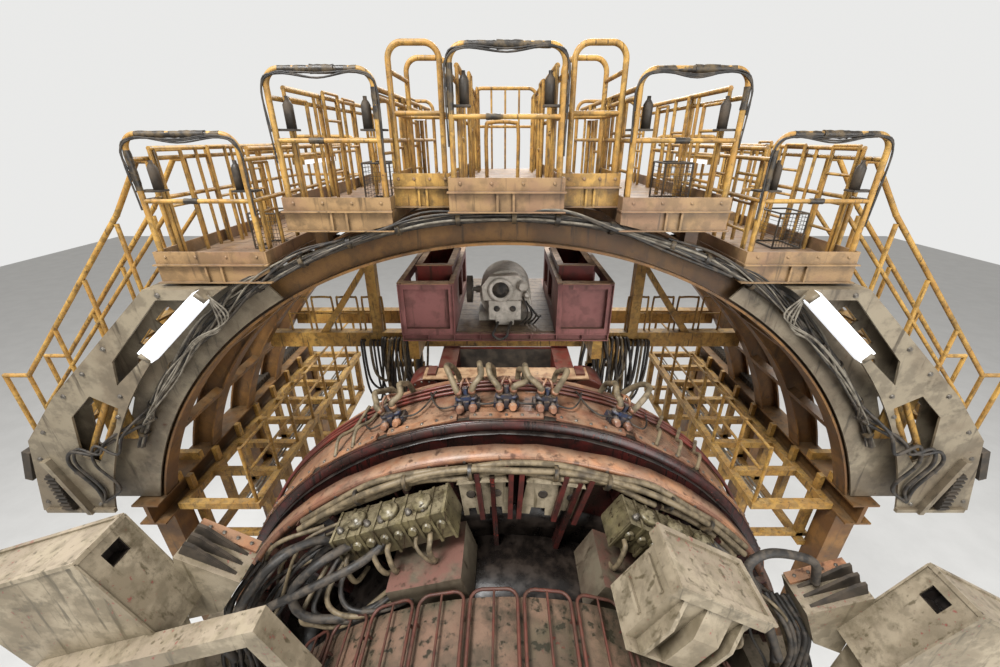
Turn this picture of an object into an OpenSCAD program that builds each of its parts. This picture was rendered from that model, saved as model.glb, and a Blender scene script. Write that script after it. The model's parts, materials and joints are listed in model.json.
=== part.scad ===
// Segment erector and ring-building platforms of a large tunnel boring machine.
// X runs across, Y runs from the erector back to the rear of the gantry, Z is up.
// The origin is on the floor, in the middle of the whole assembly.

/* [Overall] */
// Height of the erector's axis above the floor
axis_h = 7200; // [6900:50:7600]
// Length from the hose drum to the rear end of the side beams
length_all = 8800; // [8700:50:9300]
// Clearance between pieces that slide or turn on each other
run_gap = 10; // [6:1:15]
// Seat left between curved or turning faces
seat_gap = 0.3; // [0.2:0.1:0.5]

/* [Arches] */
// Outer radius of the arches
arch_r = 5850; // [5800:10:5900]
// Depth of an arch from outer to inner flange
arch_d = 350; // [250:10:400]
// Width of an arch flange
arch_w = 260; // [200:10:300]
// Thickness of the flanges and webs
arch_t = 30; // [20:2:40]
// Front face of the first arch
arch_front = -1200; // [-1250:10:-1150]
// Distance between arches
arch_pitch = 1150; // [1100:10:1200]
// Width of a post that carries a deck
post_w = 150; // [100:10:200]

/* [Gantry] */
// Distance from the middle to a side beam's centre line
beam_x = 5450; // [5400:10:5500]
// Width of a side beam
beam_w = 400; // [300:10:450]
// Depth of a side beam
beam_d = 400; // [300:10:450]
// Top of the side beams above the axis
beam_top = 1600; // [1500:10:1700]
// Width of a leg
leg_w = 350; // [250:10:400]
// Height of the knee where the legs turn inwards, below the axis
knee_z = 3600; // [3300:50:3800]
// Distance from the middle to the centre of a foot
foot_x = 3100; // [2900:50:3300]
// Width of the floor sills
sill_w = 400; // [350:10:500]
// Depth of the floor sills
sill_d = 300; // [200:10:350]
// Radius of an anchor hole in a foot plate
anchor_r = 26; // [16:1:36]

/* [Platforms] */
// Length of the main decks
deck_len = 3950; // [3800:50:4100]
// Front edge of the main decks
deck_front = -1350; // [-1400:10:-1300]
// Depth of the deck frames
deck_d = 200; // [150:10:240]
// Height of the kick plates
kick_h = 145; // [100:5:180]
// Thickness of deck plates and kick plates
plate_t = 20; // [12:1:30]
// Radius of the rail tubes
rail_r = 30; // [20:1:36]
// Radius of the corners of the hoops
hoop_bend = 150; // [100:10:200]
// Set-back of the narrow steps beside the centre deck
step_back = 200; // [150:10:250]
// Length of the narrow steps
step_len = 1000; // [900:50:1100]

/* [Stairs] */
// Width of the side stairs
stair_w = 620; // [500:20:640]
// Number of treads
treads = 11; // [9:1:13]
// Height of the landing above the axis
landing_z = 2500; // [2300:50:2700]
// Distance from the middle to the outer edge of the landing
landing_x = 7150; // [7050:50:7250]

/* [Side brackets] */
// Inner radius of the side brackets
bracket_r = 5950; // [5950:10:6000]
// Depth of the side brackets, front to back
bracket_d = 300; // [200:10:320]
// Thickness of a bracket plate
bracket_t = 30; // [20:2:40]
// Radius of a jack rod
jack_r = 70; // [50:5:80]
// Angle of the jacks above the horizontal
jack_angle = 20; // [18:1:21]

/* [Cradle] */
// Half width of the cradle
cradle_hw = 1650; // [1600:10:1750]
// Length of the cradle
cradle_len = 2900; // [2700:50:3000]
// Front of the cradle
cradle_front = 100; // [50:10:150]
// Top of the cradle rails above the axis
rail_top = 3660; // [3600:10:3700]
// Height of the cradle boxes
box_h = 840; // [700:10:900]

/* [Carriage] */
// Outer radius of the bearing ring
bearing_r = 3750; // [3700:10:3800]
// Distance from the hose drum's front to the bearing ring
bearing_setback = 2200; // [2180:10:2230]
// Length of the bearing ring
bearing_len = 1000; // [900:50:1050]
// Distance from the middle to a travel beam's centre line
travel_x = 1350; // [1250:10:1400]
// Width of a travel beam
travel_w = 400; // [300:10:450]
// Depth of a travel beam
travel_d = 650; // [500:10:700]
// Top of the travel beams below the axis
travel_top = 850; // [750:10:900]
// Number of drive motors
motors = 8; // [4:2:12]

/* [Erector] */
// Angle at which the erector is parked
park_angle = 5; // [0:1:10]
// Outer radius of the turning ring's flanges
ring_r = 3650; // [3600:10:3690]
// Outer radius of the inner tube
inner_r = 2500; // [2450:10:2550]
// Outer radius of the hose drum
drum_r = 2750; // [2700:10:2800]
// Length of the hose drum
drum_len = 870; // [800:10:900]
// Number of guard hoops on the hose drum
hoops = 36; // [24:1:40]
// Distance from the middle to a guide column
guide_x = 3650; // [3600:10:3700]
// Width of a guide column
guide_w = 600; // [500:10:650]
// Depth of a guide column
guide_d = 450; // [400:10:480]
// Wall of a guide column
guide_wall = 60; // [40:5:80]
// Lean of the arm heads
head_lean = 24.7; // [20:0.1:28]

/* [Hidden] */
$fn = 48;
eps = 1;
yellow = "goldenrod";
ochre = "peru";
cream = "tan";
rose = "rosybrown";
oxide = "firebrick";
salmon = "darksalmon";
pale = "antiquewhite";
dark = "dimgray";
arches = 4;
rear_y = length_all / 2;
arch_in = arch_r - arch_d;
beam_low = beam_top - beam_d;
side_front = arch_front - 200;
foot_z = -axis_h + sill_d;
// The arches that stand over a leg, and the rearmost leg's front face
leg_y = [arch_front, arch_front + 2 * arch_pitch, rear_y - 500];
leg_len = arch_w + 90;
// Platforms: inner edge, outer edge, floor height, top of hoop, middle rail
CENTRE = [-620, 620, arch_r + 250, arch_r + 1580, arch_r + 970];
STEP = [620, 1250, arch_r + 280, arch_r + 1630, arch_r + 1010];
MID = [1250, 2420, arch_r + 50, arch_r + 1380, arch_r + 750];
OUTER = [2730, 4010, arch_r - 540, arch_r + 810, arch_r + 150];
XLO = 0;
XHI = 1;
FLOOR = 2;
TOP = 3;
MIDDLE = 4;
// Arch posts: distance from the middle, height of the deck that they carry
post_rows = [[450, CENTRE[FLOOR]], [1500, MID[FLOOR]], [2150, MID[FLOOR]],
    [2950, OUTER[FLOOR]], [3750, OUTER[FLOOR]]];
// Cables on the front arch, and the cope that clears them under the decks
cable_r = 60;
cable_seat = arch_r - 20;
cope_r = cable_seat + cable_r + 5;
// Cross frame
cross_y = arch_front + 2 * arch_pitch + arch_w;
cross_z = 3050;
cross_d = 300;
cross_w = 200;
cross_x = sqrt(pow(arch_in, 2) - pow(cross_z, 2)) + 23;
cross_post_x = 2480;
cross_post_top = arch_in - 440;
cross_pitch = arch_pitch;
cradle_rail_x = 1500;
cradle_rail_w = 160;
cradle_rail_low = rail_top - 360;
// Bridge beams that carry the travel beams
bridge_d = 500;
bridge_top = -travel_top - travel_d;
drum_front = -rear_y;
travel_front = drum_front + 800;
travel_len = rear_y - travel_front;
// Turning ring
bearing_front = drum_front + bearing_setback;
ring_front = bearing_front - 450;
flange_t = 50;
flange_gap = 310;
rib_len = 150;
ribs = 24;
light_r = 110;
rib_front = ring_front - rib_len;
drum_back = drum_front + drum_len;
inner_wall = 80;
bearing_bore = 3000;
drum_wall = 100;
guide_front = drum_front + 500;
guide_back = guide_front + guide_d;
guide_top = 2300;
guide_bottom = -2400;
mount_half = 900;
tele_w = guide_w - 2 * guide_wall - 2 * run_gap;
tele_d = guide_d - 2 * guide_wall - 2 * run_gap;
tele_top = 200;
pad_w = guide_w - 2 * guide_wall - 2 * seat_gap;
pad_d = guide_d - 2 * guide_wall - 2 * seat_gap;
pad_h = 260;
yoke_top = -3900;
yoke_d = 420;
head_d = 560;
head_x = 1800;
head_y = 1100;
pin_r = 120;
pin_gap = 0.05;
guide_y = guide_front + guide_d / 2;

// Moves children from the axis to their height above the floor
module at_axis() {
    translate([0, 0, axis_h]) children();
}

// Turns children with the parked erector
module at_park() {
    at_axis() rotate([0, park_angle, 0]) children();
}

// Mirrors children to the side that is asked for
module on_side(side) {
    if (side > 0) children();
    else mirror([1, 0, 0]) children();
}

// Sweeps a radius and depth profile about the axis, from angle a0 to angle a1
module around(a0, a1) {
    rotate([90, 0, 0]) rotate_extrude(start = a0, angle = a1 - a0, $fn = 360) children();
}

// Rectangle of a ring's section
module band(r0, r1, y0, y1) {
    translate([r0, -y1]) square([r1 - r0, y1 - y0]);
}

// Full ring about the axis
module ring(r0, r1, y0, y1) {
    translate([0, y1, 0]) rotate([90, 0, 0]) difference() {
        cylinder(r = r1, h = y1 - y0, $fn = 360);
        translate([0, 0, -eps]) cylinder(r = r0, h = y1 - y0 + 2 * eps, $fn = 360);
    }
}

// Block given by its lowest and highest corner
module block(lo, hi) {
    translate(lo) cube(hi - lo);
}

// Outline in X and Z, extruded from y0 to y1
module plate_y(y0, y1) {
    translate([0, y1, 0]) rotate([90, 0, 0]) linear_extrude(y1 - y0) children();
}

// Round bar from a to b
module bar(a, b, r) {
    d = b - a;
    len = norm(d);
    translate(a) rotate([0, acos(d[2] / len), atan2(d[1], d[0])]) cylinder(r = r, h = len, $fn = 24);
}

// Tube through a list of points, with a ball at each bend
module pipe(points, r) {
    last = len(points) - 1;
    for (i = [0 : last - 1]) bar(points[i], points[i + 1], r);
    if (last > 1) for (i = [1 : last - 1]) translate(points[i]) sphere(r = r * 1.08, $fn = 24);
}

// Hoop standing on z0, with round corners, in a plane of constant Y
module hoop(x0, x1, y, z0, z1) {
    bend = hoop_bend;
    for (x = [x0, x1]) bar([x, y, z0], [x, y, z1 - bend], rail_r);
    bar([x0 + bend, y, z1], [x1 - bend, y, z1], rail_r);
    translate([x0 + bend, y, z1 - bend]) rotate([90, 0, 0])
        rotate_extrude(start = 90, angle = 90, $fn = 48) translate([bend, 0]) circle(r = rail_r, $fn = 24);
    translate([x1 - bend, y, z1 - bend]) rotate([90, 0, 0])
        rotate_extrude(start = 0, angle = 90, $fn = 48) translate([bend, 0]) circle(r = rail_r, $fn = 24);
}

module side_beam(side) {
    color(ochre) at_axis() on_side(side) difference() {
        block([beam_x - beam_w / 2, side_front, beam_low], [beam_x + beam_w / 2, rear_y, beam_top]);
        for (s = [-1, 1]) translate([s * (beam_w / 2 + arch_t), 0, 0])
            block([beam_x - beam_w / 2, side_front - eps, beam_low + arch_t],
                [beam_x + beam_w / 2, rear_y + eps, beam_top - arch_t]);
    }
}

// Height of the arch's web at a distance from the middle
function arch_z(x) = sqrt(pow(arch_r - arch_t / 2, 2) - x * x);

module arch(index) {
    y0 = arch_front + index * arch_pitch;
    y1 = y0 + arch_w;
    ym = (y0 + y1) / 2;
    color(ochre) at_axis() {
        difference() {
            around(5, 175) {
                band(arch_r - arch_t, arch_r, y0, y1);
                band(arch_in, arch_in + arch_t, y0, y1);
                band(arch_in, arch_r, ym - arch_t / 2, ym + arch_t / 2);
            }
            block([-arch_r, y0 - eps, 0], [arch_r, y1 + eps, beam_top]);
        }
        for (side = [-1, 1], row = post_rows) {
            x = side * row[0];
            block([x - post_w / 2, ym - post_w / 2, arch_z(abs(x) + post_w / 2)],
                [x + post_w / 2, ym + post_w / 2, row[1] - deck_d - seat_gap]);
        }
    }
}

module arch_ties() {
    tie = 120;
    color(ochre) at_axis() for (a = [30, 48, 66, 90, 114, 132, 150], i = [0 : arches - 2]) {
        y0 = arch_front + i * arch_pitch + arch_w;
        rotate([0, -a, 0]) block([arch_in, y0, -tie / 2], [arch_in + tie, y0 + arch_pitch - arch_w, tie / 2]);
    }
}

module leg_outline() {
    x0 = beam_x - leg_w / 2;
    x1 = beam_x + leg_w / 2;
    polygon([[x0, beam_low], [x0, -knee_z], [foot_x - leg_w / 2, foot_z], [foot_x + leg_w / 2, foot_z],
        [x1, -knee_z], [x1, beam_low]]);
}

module legs(side) {
    color(ochre) at_axis() on_side(side) for (y = leg_y) plate_y(y, y + leg_len) leg_outline();
}

module base_frame() {
    color(ochre) at_axis() difference() {
        union() {
            for (s = [-1, 1]) block([s * foot_x - sill_w / 2, side_front, -axis_h],
                [s * foot_x + sill_w / 2, rear_y, foot_z]);
            for (y = leg_y) block([-foot_x, y + 60, -axis_h + 20], [foot_x, y + leg_len - 60, foot_z - 20]);
        }
        for (s = [-1, 1], y = [side_front + 80, rear_y - 80], dx = [-120, 120])
            translate([s * foot_x + dx, y, -axis_h - eps]) cylinder(r = anchor_r, h = sill_d + 2 * eps);
    }
}

module bridge_beams() {
    x1 = beam_x - leg_w / 2;
    color(ochre) at_axis() for (i = [1, 2])
        block([-x1, leg_y[i] + 25, bridge_top - bridge_d], [x1, leg_y[i] + leg_len - 25, bridge_top]);
}

module travel_beam(side) {
    wall = 50;
    color(dark) at_axis() on_side(side) difference() {
        block([travel_x - travel_w / 2, travel_front, bridge_top],
            [travel_x + travel_w / 2, travel_front + travel_len, -travel_top]);
        block([travel_x - travel_w / 2 + wall, travel_front - eps, bridge_top + wall],
            [travel_x + travel_w / 2 - wall, travel_front + travel_len + eps, -travel_top - wall]);
    }
}

module cross_frame() {
    brace = 110;
    brace_top = cross_post_top - 360;
    color(yellow) at_axis() {
        for (y = [cross_y, cross_y + cross_pitch])
            block([-cross_x, y, cross_z - cross_d / 2], [cross_x, y + cross_w, cross_z + cross_d / 2]);
        for (s = [-1, 1]) {
            block([s * cross_post_x - 90, cross_y, cross_z],
                [s * cross_post_x + 90, cross_y + cross_w, cross_post_top]);
            plate_y(cross_y + 40, cross_y + 160) on_side(s)
                polygon([[cross_post_x, brace_top], [cross_post_x, brace_top - brace * 1.4], [3550, cross_z],
                    [3550 + brace * 1.4, cross_z]]);
            block([s * cradle_rail_x - cradle_rail_w / 2, cradle_front, cradle_rail_low],
                [s * cradle_rail_x + cradle_rail_w / 2, cross_y + cross_pitch + 1400, rail_top]);
            for (y = [cross_y, cross_y + cross_pitch])
                block([s * cradle_rail_x - cradle_rail_w / 2, y, cross_z + cross_d / 2 - eps],
                    [s * cradle_rail_x + cradle_rail_w / 2, y + cross_w, cradle_rail_low + eps]);
        }
    }
}

module deck_frame(p, y0, y1, joists) {
    frame_w = 60;
    x0 = p[XLO];
    x1 = p[XHI];
    z1 = p[FLOOR];
    difference() {
        block([x0, y0, z1 - deck_d], [x1, y1, z1]);
        for (i = [0 : joists - 1]) {
            bay = (y1 - y0 - frame_w) / joists;
            block([x0 + frame_w, y0 + frame_w + i * bay, z1 - deck_d - eps],
                [x1 - frame_w, y0 + i * bay + bay, z1 - plate_t]);
        }
        translate([0, y1 + eps, 0]) rotate([90, 0, 0]) cylinder(r = cope_r, h = y1 - y0 + 2 * eps, $fn = 360);
    }
    block([x0, y0, z1], [x1, y0 + plate_t, z1 + kick_h]);
    for (x = [x0, x1 - plate_t]) block([x, y0, z1], [x + plate_t, y1, z1 + kick_h]);
    for (f = [0.42, 0.56]) {
        x = x0 + f * (x1 - x0);
        block([x - 12, y0 - 30, z1 - deck_d], [x + 12, y0, z1]);
    }
}

module deck(p, side) {
    color(yellow) at_axis() on_side(side) deck_frame(p, deck_front, deck_front + deck_len, 3);
}

// Hoops front and back, two rails down each side and posts between
module rails(p, y0, y1, bays) {
    inset = plate_t + rail_r + 8;
    x0 = p[XLO] + inset;
    x1 = p[XHI] - inset;
    ya = y0 + inset;
    yb = y1 - inset;
    slim = rail_r * 0.8;
    for (y = [ya, yb]) {
        hoop(x0, x1, y, p[FLOOR], p[TOP]);
        bar([x0, y, p[MIDDLE]], [x1, y, p[MIDDLE]], slim);
    }
    for (x = [x0, x1]) {
        for (z = [p[MIDDLE], p[TOP] - hoop_bend - 90]) bar([x, ya, z], [x, yb, z], slim);
        if (bays > 1) for (i = [1 : bays - 1]) {
            y = ya + i * (yb - ya) / bays;
            bar([x, y, p[FLOOR]], [x, y, p[TOP] - hoop_bend], rail_r);
        }
    }
}

module deck_rails(p, side) {
    color(yellow) at_axis() on_side(side) rails(p, deck_front, deck_front + deck_len, 3);
}

module step(side) {
    y0 = deck_front + step_back;
    color(yellow) at_axis() on_side(side) {
        deck_frame(STEP, y0, y0 + step_len, 1);
        rails(STEP, y0, y0 + step_len, 1);
    }
}

stair_x0 = OUTER[XHI];
stair_x1 = landing_x - 400;
stair_z0 = OUTER[FLOOR];
stair_y0 = arch_front + 280;
landing_y1 = stair_y0 + stair_w;
support_z = beam_top + 150;
// Height of the stair's pitch line at a distance from the middle
function stair_z(x) = stair_z0 + (x - stair_x0) * (landing_z - stair_z0) / (stair_x1 - stair_x0);

module stair(side) {
    depth = 240;
    cheek = 30;
    color(yellow) at_axis() on_side(side) {
        for (y = [stair_y0, landing_y1 - cheek]) plate_y(y, y + cheek)
            polygon([[stair_x0, stair_z0], [stair_x1, landing_z], [stair_x1, landing_z - depth],
                [stair_x0, stair_z0 - depth]]);
        for (i = [1 : treads]) {
            x = stair_x0 + i * (stair_x1 - stair_x0) / (treads + 1);
            block([x - 110, stair_y0 + cheek - eps, stair_z(x) - 60],
                [x + 110, landing_y1 - cheek + eps, stair_z(x) - 30]);
        }
        block([stair_x1 - eps, stair_y0, landing_z - 80], [landing_x, landing_y1, landing_z]);
        for (y = [stair_y0, landing_y1 - 100]) {
            block([beam_x - beam_w / 2, y, beam_top], [landing_x, y + 100, support_z]);
            block([landing_x - 200, y, support_z - eps], [landing_x - 100, y + 100, landing_z - 80 + eps]);
        }
    }
}

module stair_rails(side) {
    up = 1080;
    inset = 60;
    slope = (stair_z0 - landing_z) / (stair_x1 - stair_x0);
    lift = rail_r * slope + seat_gap;
    first = stair_x0 + inset;
    last = landing_x - inset;
    color(yellow) at_axis() on_side(side) for (y = [stair_y0 + 15, landing_y1 - 15]) {
        pipe([[first, y, stair_z(first) + lift], [first, y, stair_z0 + up],
            [stair_x0 + 190, y, stair_z0 + up],
            [stair_x0 + 640, y, stair_z(stair_x0 + 640) + up + 60], [stair_x1, y, landing_z + up],
            [last, y, landing_z + up], [last, y, landing_z]], rail_r);
        bar([first, y, stair_z(first) + up / 2], [stair_x1, y, landing_z + up / 2], rail_r * 0.8);
        for (f = [0.25, 0.5, 0.75, 1]) {
            x = stair_x0 + f * (stair_x1 - stair_x0);
            bar([x, y, stair_z(x) + lift], [x, y, stair_z(x) + up], rail_r * 0.9);
        }
    }
}

bracket_back = arch_front;
bracket_front = bracket_back - bracket_d;
bracket_low = beam_top + 20;
// Outer edge of a side bracket, from its top to its foot
bracket_edge = [[2900, 5060], [4150, 5060], [5830, 3600], [6480, 2900], [6850, bracket_low],
    [5500, bracket_low]];
// Openings of a side bracket: behind the lamp, and between the lamp and the jack
lamp_opening = [[3620, 4930], [4050, 4930], [4860, 4120], [4930, 3780], [4400, 4220]];
rod_opening = [[5350, 3620], [5050, 3430], [5200, 3130], [5660, 2520], [5860, 2640], [5720, 3290]];
jack_base = 6350;
jack_end = 7100;

module bracket_outline(grow) {
    difference() {
        polygon(concat([[0, bracket_low]], bracket_edge));
        circle(r = bracket_r + grow, $fn = 720);
    }
}

module back_cuts() {
    polygon(rod_opening);
    for (a = [43.5, 47.5]) rotate(a) translate([6200, 0]) square([260, 300], center = true);
    translate([4750, 3960]) circle(r = 70);
}

module jack_line(r0, r1, r) {
    rotate([0, 90 - jack_angle, 0]) translate([0, 0, r0]) cylinder(r = r, h = r1 - r0, $fn = 48);
}

module bracket(side) {
    jack_y = (bracket_front + bracket_back) / 2;
    color(cream) at_axis() on_side(side) difference() {
        union() {
            plate_y(bracket_front, bracket_front + bracket_t) difference() {
                bracket_outline(60);
                polygon(lamp_opening);
                polygon(rod_opening);
            }
            plate_y(bracket_back - bracket_t, bracket_back) difference() {
                polygon(concat([[0, bracket_low]], bracket_edge));
                circle(r = arch_in + 60, $fn = 720);
                back_cuts();
            }
            plate_y(bracket_front, bracket_back) difference() {
                bracket_outline(60);
                translate([-40, -40]) bracket_outline(-200);
            }
            translate([0, jack_y, 0]) {
                jack_line(jack_base, jack_end - 170, jack_r + 45);
                for (r = [jack_base + 40, jack_end - 270]) rotate([0, -jack_angle, 0])
                    block([r, bracket_front - jack_y, -135], [r + 60, bracket_back - jack_y, 135]);
            }
        }
        translate([0, jack_y, 0]) jack_line(jack_base + 60, jack_end, jack_r + pin_gap);
    }
}

module jack_pad(side) {
    jack_y = (bracket_front + bracket_back) / 2;
    color(dark) at_axis() on_side(side) translate([0, jack_y, 0]) {
        jack_line(jack_base + 150, jack_end, jack_r);
        rotate([0, -jack_angle, 0]) block([jack_end - eps, -140, -260], [jack_end + 100, 140, 260]);
    }
}

module side_lamps() {
    color("white") at_axis() for (s = [-1, 1]) on_side(s) plate_y(bracket_front - 110, bracket_front)
        polygon([[3380, 4950], [3500, 5060], [4400, 4300], [4270, 4170]]);
}

module deck_lamps() {
    color("white") at_axis() for (s = [-1, 1], p = [MID, OUTER]) on_side(s) {
        x = p[XLO] + plate_t + rail_r + 8;
        z = p[TOP] - hoop_bend - 90 - rail_r * 0.8 - seat_gap;
        block([x - 70, 50, z - 90], [x + 70, 1200, z]);
    }
}

module cable_bundle() {
    y = bracket_back - bracket_t - seat_gap - cable_r;
    color("black") at_axis() around(27, 153) translate([cable_seat, -y]) circle(r = cable_r, $fn = 32);
}

module walkway(side) {
    x0 = 3950;
    x1 = beam_x - beam_w / 2;
    y0 = arch_front + 100;
    y1 = rear_y - 200;
    bays = 7;
    rim = 120;
    bay = (y1 - y0 - rim) / bays;
    color(yellow) at_axis() on_side(side) {
        difference() {
            block([x0, y0, beam_low], [x1, y1, beam_low + rim]);
            for (i = [0 : bays - 1]) block([x0 + rim, y0 + rim + i * bay, beam_low - eps],
                [x1 - rim, y0 + i * bay + bay, beam_low + rim + eps]);
        }
        for (i = [0 : bays]) bar([x0 + rim / 2, y0 + rim / 2 + i * bay, beam_low + rim - eps],
            [x0 + rim / 2, y0 + rim / 2 + i * bay, beam_low + 1200], rail_r);
        for (z = [beam_low + 700, beam_low + 1160])
            bar([x0 + rim / 2, y0 + rim / 2, z], [x0 + rim / 2, y1 - rim / 2, z], rail_r * 0.8);
    }
}

cradle_back = cradle_front + cradle_len;
cradle_low = rail_top + seat_gap;
cradle_floor = cradle_low + 120;
motor_y = cradle_front + 400;
motor_r = 420;
motor_z = cradle_floor + motor_r + 80;
wheel_x = -560;
wheel_shaft_r = 40;

module cradle_frame() {
    color(rose) at_axis() difference() {
        block([-cradle_hw, cradle_front, cradle_low], [cradle_hw, cradle_back, cradle_floor]);
        for (i = [0 : 2]) block([-cradle_hw + 120, cradle_front + 150 + i * 900, cradle_low - eps],
            [cradle_hw - 120, cradle_front + 150 + i * 900 + 800, cradle_floor - 30]);
    }
}

module cradle_box(side) {
    wall = 50;
    inner = 800;
    color(rose) at_axis() on_side(side) difference() {
        block([inner, cradle_front, cradle_floor], [cradle_hw, cradle_back - 600, cradle_floor + box_h]);
        block([inner + wall, cradle_front + wall + 20, cradle_floor + wall],
            [cradle_hw - wall, cradle_back - 600 - wall, cradle_floor + box_h + eps]);
        block([inner + 70, cradle_front - eps, cradle_floor + 90],
            [cradle_hw - 70, cradle_front + 25, cradle_floor + box_h - 90]);
        for (i = [0 : 1]) block([inner - eps, cradle_front + 700 + i * 800, cradle_floor + 200],
            [cradle_hw + eps, cradle_front + 1300 + i * 800, cradle_floor + box_h - 150]);
    }
}

module hydraulic_motor() {
    color(pale) at_axis() difference() {
        union() {
            translate([0, motor_y, motor_z]) rotate([-90, 0, 0]) cylinder(r = motor_r, h = 620, $fn = 64);
            translate([0, motor_y - 120, motor_z]) rotate([-90, 0, 0]) cylinder(r = 260, h = 121, $fn = 48);
            block([-450, motor_y + 60, cradle_floor], [450, motor_y + 560, cradle_floor + 180]);
            translate([0, motor_y + 310, motor_z]) rotate([0, -90, 0]) {
                cylinder(r = 60, h = -wheel_x - 60, $fn = 32);
                cylinder(r = wheel_shaft_r, h = -wheel_x + 55);
            }
        }
        translate([0, motor_y - 130, motor_z + 120]) rotate([-90, 0, 0]) cylinder(r = 70, h = 160);
        for (x = [-140, 140]) translate([x, motor_y - 130, motor_z - 90]) rotate([-90, 0, 0])
            cylinder(r = 35, h = 160);
    }
}

module motor_wheel() {
    color(dark) at_axis() translate([wheel_x, motor_y + 310, motor_z]) rotate([0, -90, 0]) difference() {
        cylinder(r = 230, h = 90, $fn = 64);
        translate([0, 0, -eps]) cylinder(r = wheel_shaft_r + pin_gap, h = 60);
        for (a = [0 : 60 : 300]) rotate(a) translate([140, 0, -eps]) cylinder(r = 35, h = 100);
    }
}

bearing_back = bearing_front + bearing_len;

module bearing_ring() {
    color(salmon) at_axis() difference() {
        around(0, 360) {
            band(bearing_r - 60, bearing_r, bearing_front, bearing_back);
            band(bearing_bore, bearing_r - eps, bearing_front + 60, bearing_front + 120);
            band(bearing_bore, bearing_r - eps, bearing_back - 60, bearing_back);
            band(bearing_bore, bearing_bore + 60, bearing_front + 60 + eps, bearing_back - eps);
        }
        light_holes(3380, bearing_front + 60, bearing_front + 120);
    }
}

shoe_h = 140;

module carriage_frame() {
    y1 = bearing_back + 200;
    half = 2600;
    low = -travel_top + seat_gap;
    color(oxide) at_axis() {
        ring(half + 40, 3600, bearing_back, y1);
        difference() {
            block([-half, bearing_back, low], [half, y1, low + 320]);
            ring(half + 90, half + 900, bearing_back - eps, y1 + eps);
        }
        for (s = [-1, 1]) block([s * travel_x - 300, bearing_back - 700, low],
            [s * travel_x + 300, y1, low + shoe_h]);
        block([-2150, bearing_back, bridge_top - run_gap - 300], [2150, y1, bridge_top - run_gap]);
    }
}

module red_portal() {
    y0 = bearing_back + 200;
    y1 = y0 + 250;
    top = rail_top - 60;
    color(oxide) at_axis() {
        block([-1150, y0, top - 400], [1150, y1, top]);
        for (s = [-1, 1]) block([s * 900 - 120, y0, 2800], [s * 900 + 120, y1, top - 399]);
    }
}

module drive_motors() {
    color(oxide) at_axis() for (i = [0 : motors - 1]) {
        a = 90 + 24 + i * 312 / (motors - 1);
        rotate([0, -a, 0]) translate([3300, bearing_back + 200 + seat_gap, 0]) rotate([-90, 0, 0]) {
            cylinder(r = 240, h = 160);
            cylinder(r = 170, h = 420);
        }
    }
}

module valve_sets() {
    color("steelblue") at_axis() for (a = [-21, -7, 0, 7, 21])
        rotate([0, a, 0]) translate([0, bearing_front + 330, bearing_r + seat_gap]) {
            block([-130, -90, 0], [130, 90, 50]);
            block([-60, -60, 49], [60, 60, 170]);
            translate([0, 0, 169]) cylinder(r = 30, h = 90, $fn = 24);
        }
}

// Row of lightening holes through a ring's plate
module light_holes(r, y0, y1) {
    for (i = [0 : ribs - 1]) rotate([0, i * 360 / ribs, 0]) translate([r, y0 - eps, 0]) rotate([-90, 0, 0])
        cylinder(r = light_r, h = y1 - y0 + 2 * eps);
}

module turning_ring() {
    back = ring_front + 2 * flange_t + flange_gap;
    color(salmon) at_park() {
        difference() {
            around(0, 360) {
                band(inner_r - inner_wall, inner_r, drum_front, back);
                band(inner_r - eps, ring_r, ring_front, ring_front + flange_t);
                band(ring_r - 300, ring_r - 230, ring_front, back);
                band(inner_r - eps, ring_r, back - flange_t, back);
                band(bearing_bore - 120, bearing_bore - seat_gap, back - eps, bearing_front + 400);
            }
            light_holes(inner_r + 400, back - flange_t, back);
        }
        for (i = [0 : ribs - 1]) {
            a = (i + 0.5) * 360 / ribs;
            if (abs(sin(a)) * inner_r > mount_half + 25) rotate([0, a, 0])
                block([inner_r + 5, rib_front, -25], [ring_r - 150, ring_front + eps, 25]);
        }
    }
}

module hose_drum() {
    front = drum_front + 40;
    back = drum_back;
    color(salmon) at_park() around(0, 360) {
        band(drum_r - drum_wall, drum_r, front, back);
        band(inner_r + seat_gap, drum_r, front, front + 40);
        band(inner_r + seat_gap, drum_r, back - 40, back);
    }
}

module drum_hoops() {
    guard = drum_r + 60;
    guard_t = 24;
    front_foot = drum_front + 40 - seat_gap - guard_t;
    back_foot = drum_back + seat_gap;
    color(oxide) at_park() {
        for (i = [0 : 2 * hoops - 1]) rotate([0, i * 180 / hoops, 0]) {
            block([guard, front_foot, -guard_t / 2], [guard + guard_t, back_foot + guard_t, guard_t / 2]);
            for (y = [front_foot, back_foot])
                block([drum_r - 60, y, -guard_t / 2], [guard + eps, y + guard_t, guard_t / 2]);
        }
    }
}

module manifolds() {
    color("darkkhaki") at_park() for (a = [-25, 25]) rotate([0, a, 0]) {
        block([-620, rib_front - 350, 3090], [620, rib_front - seat_gap, 3420]);
        for (i = [-1 : 1]) translate([i * 360, rib_front - 190, 3419]) cylinder(r = 70, h = 60);
    }
}

module valve_boxes() {
    color(rose) at_park() for (a = [-21, 21]) rotate([0, a, 0])
        block([-380, drum_back + 80, inner_r + seat_gap], [380, rib_front - seat_gap, inner_r + 400]);
}

// Arm head seen from the front: a box that leans outwards from its inner top corner
head_corner = [3600, 3400];
head_long = 1350;
head_deep = 1100;

module head_outline() {
    translate(head_corner) rotate(-head_lean) translate([0, -head_deep]) square([head_long, head_deep]);
}

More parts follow.
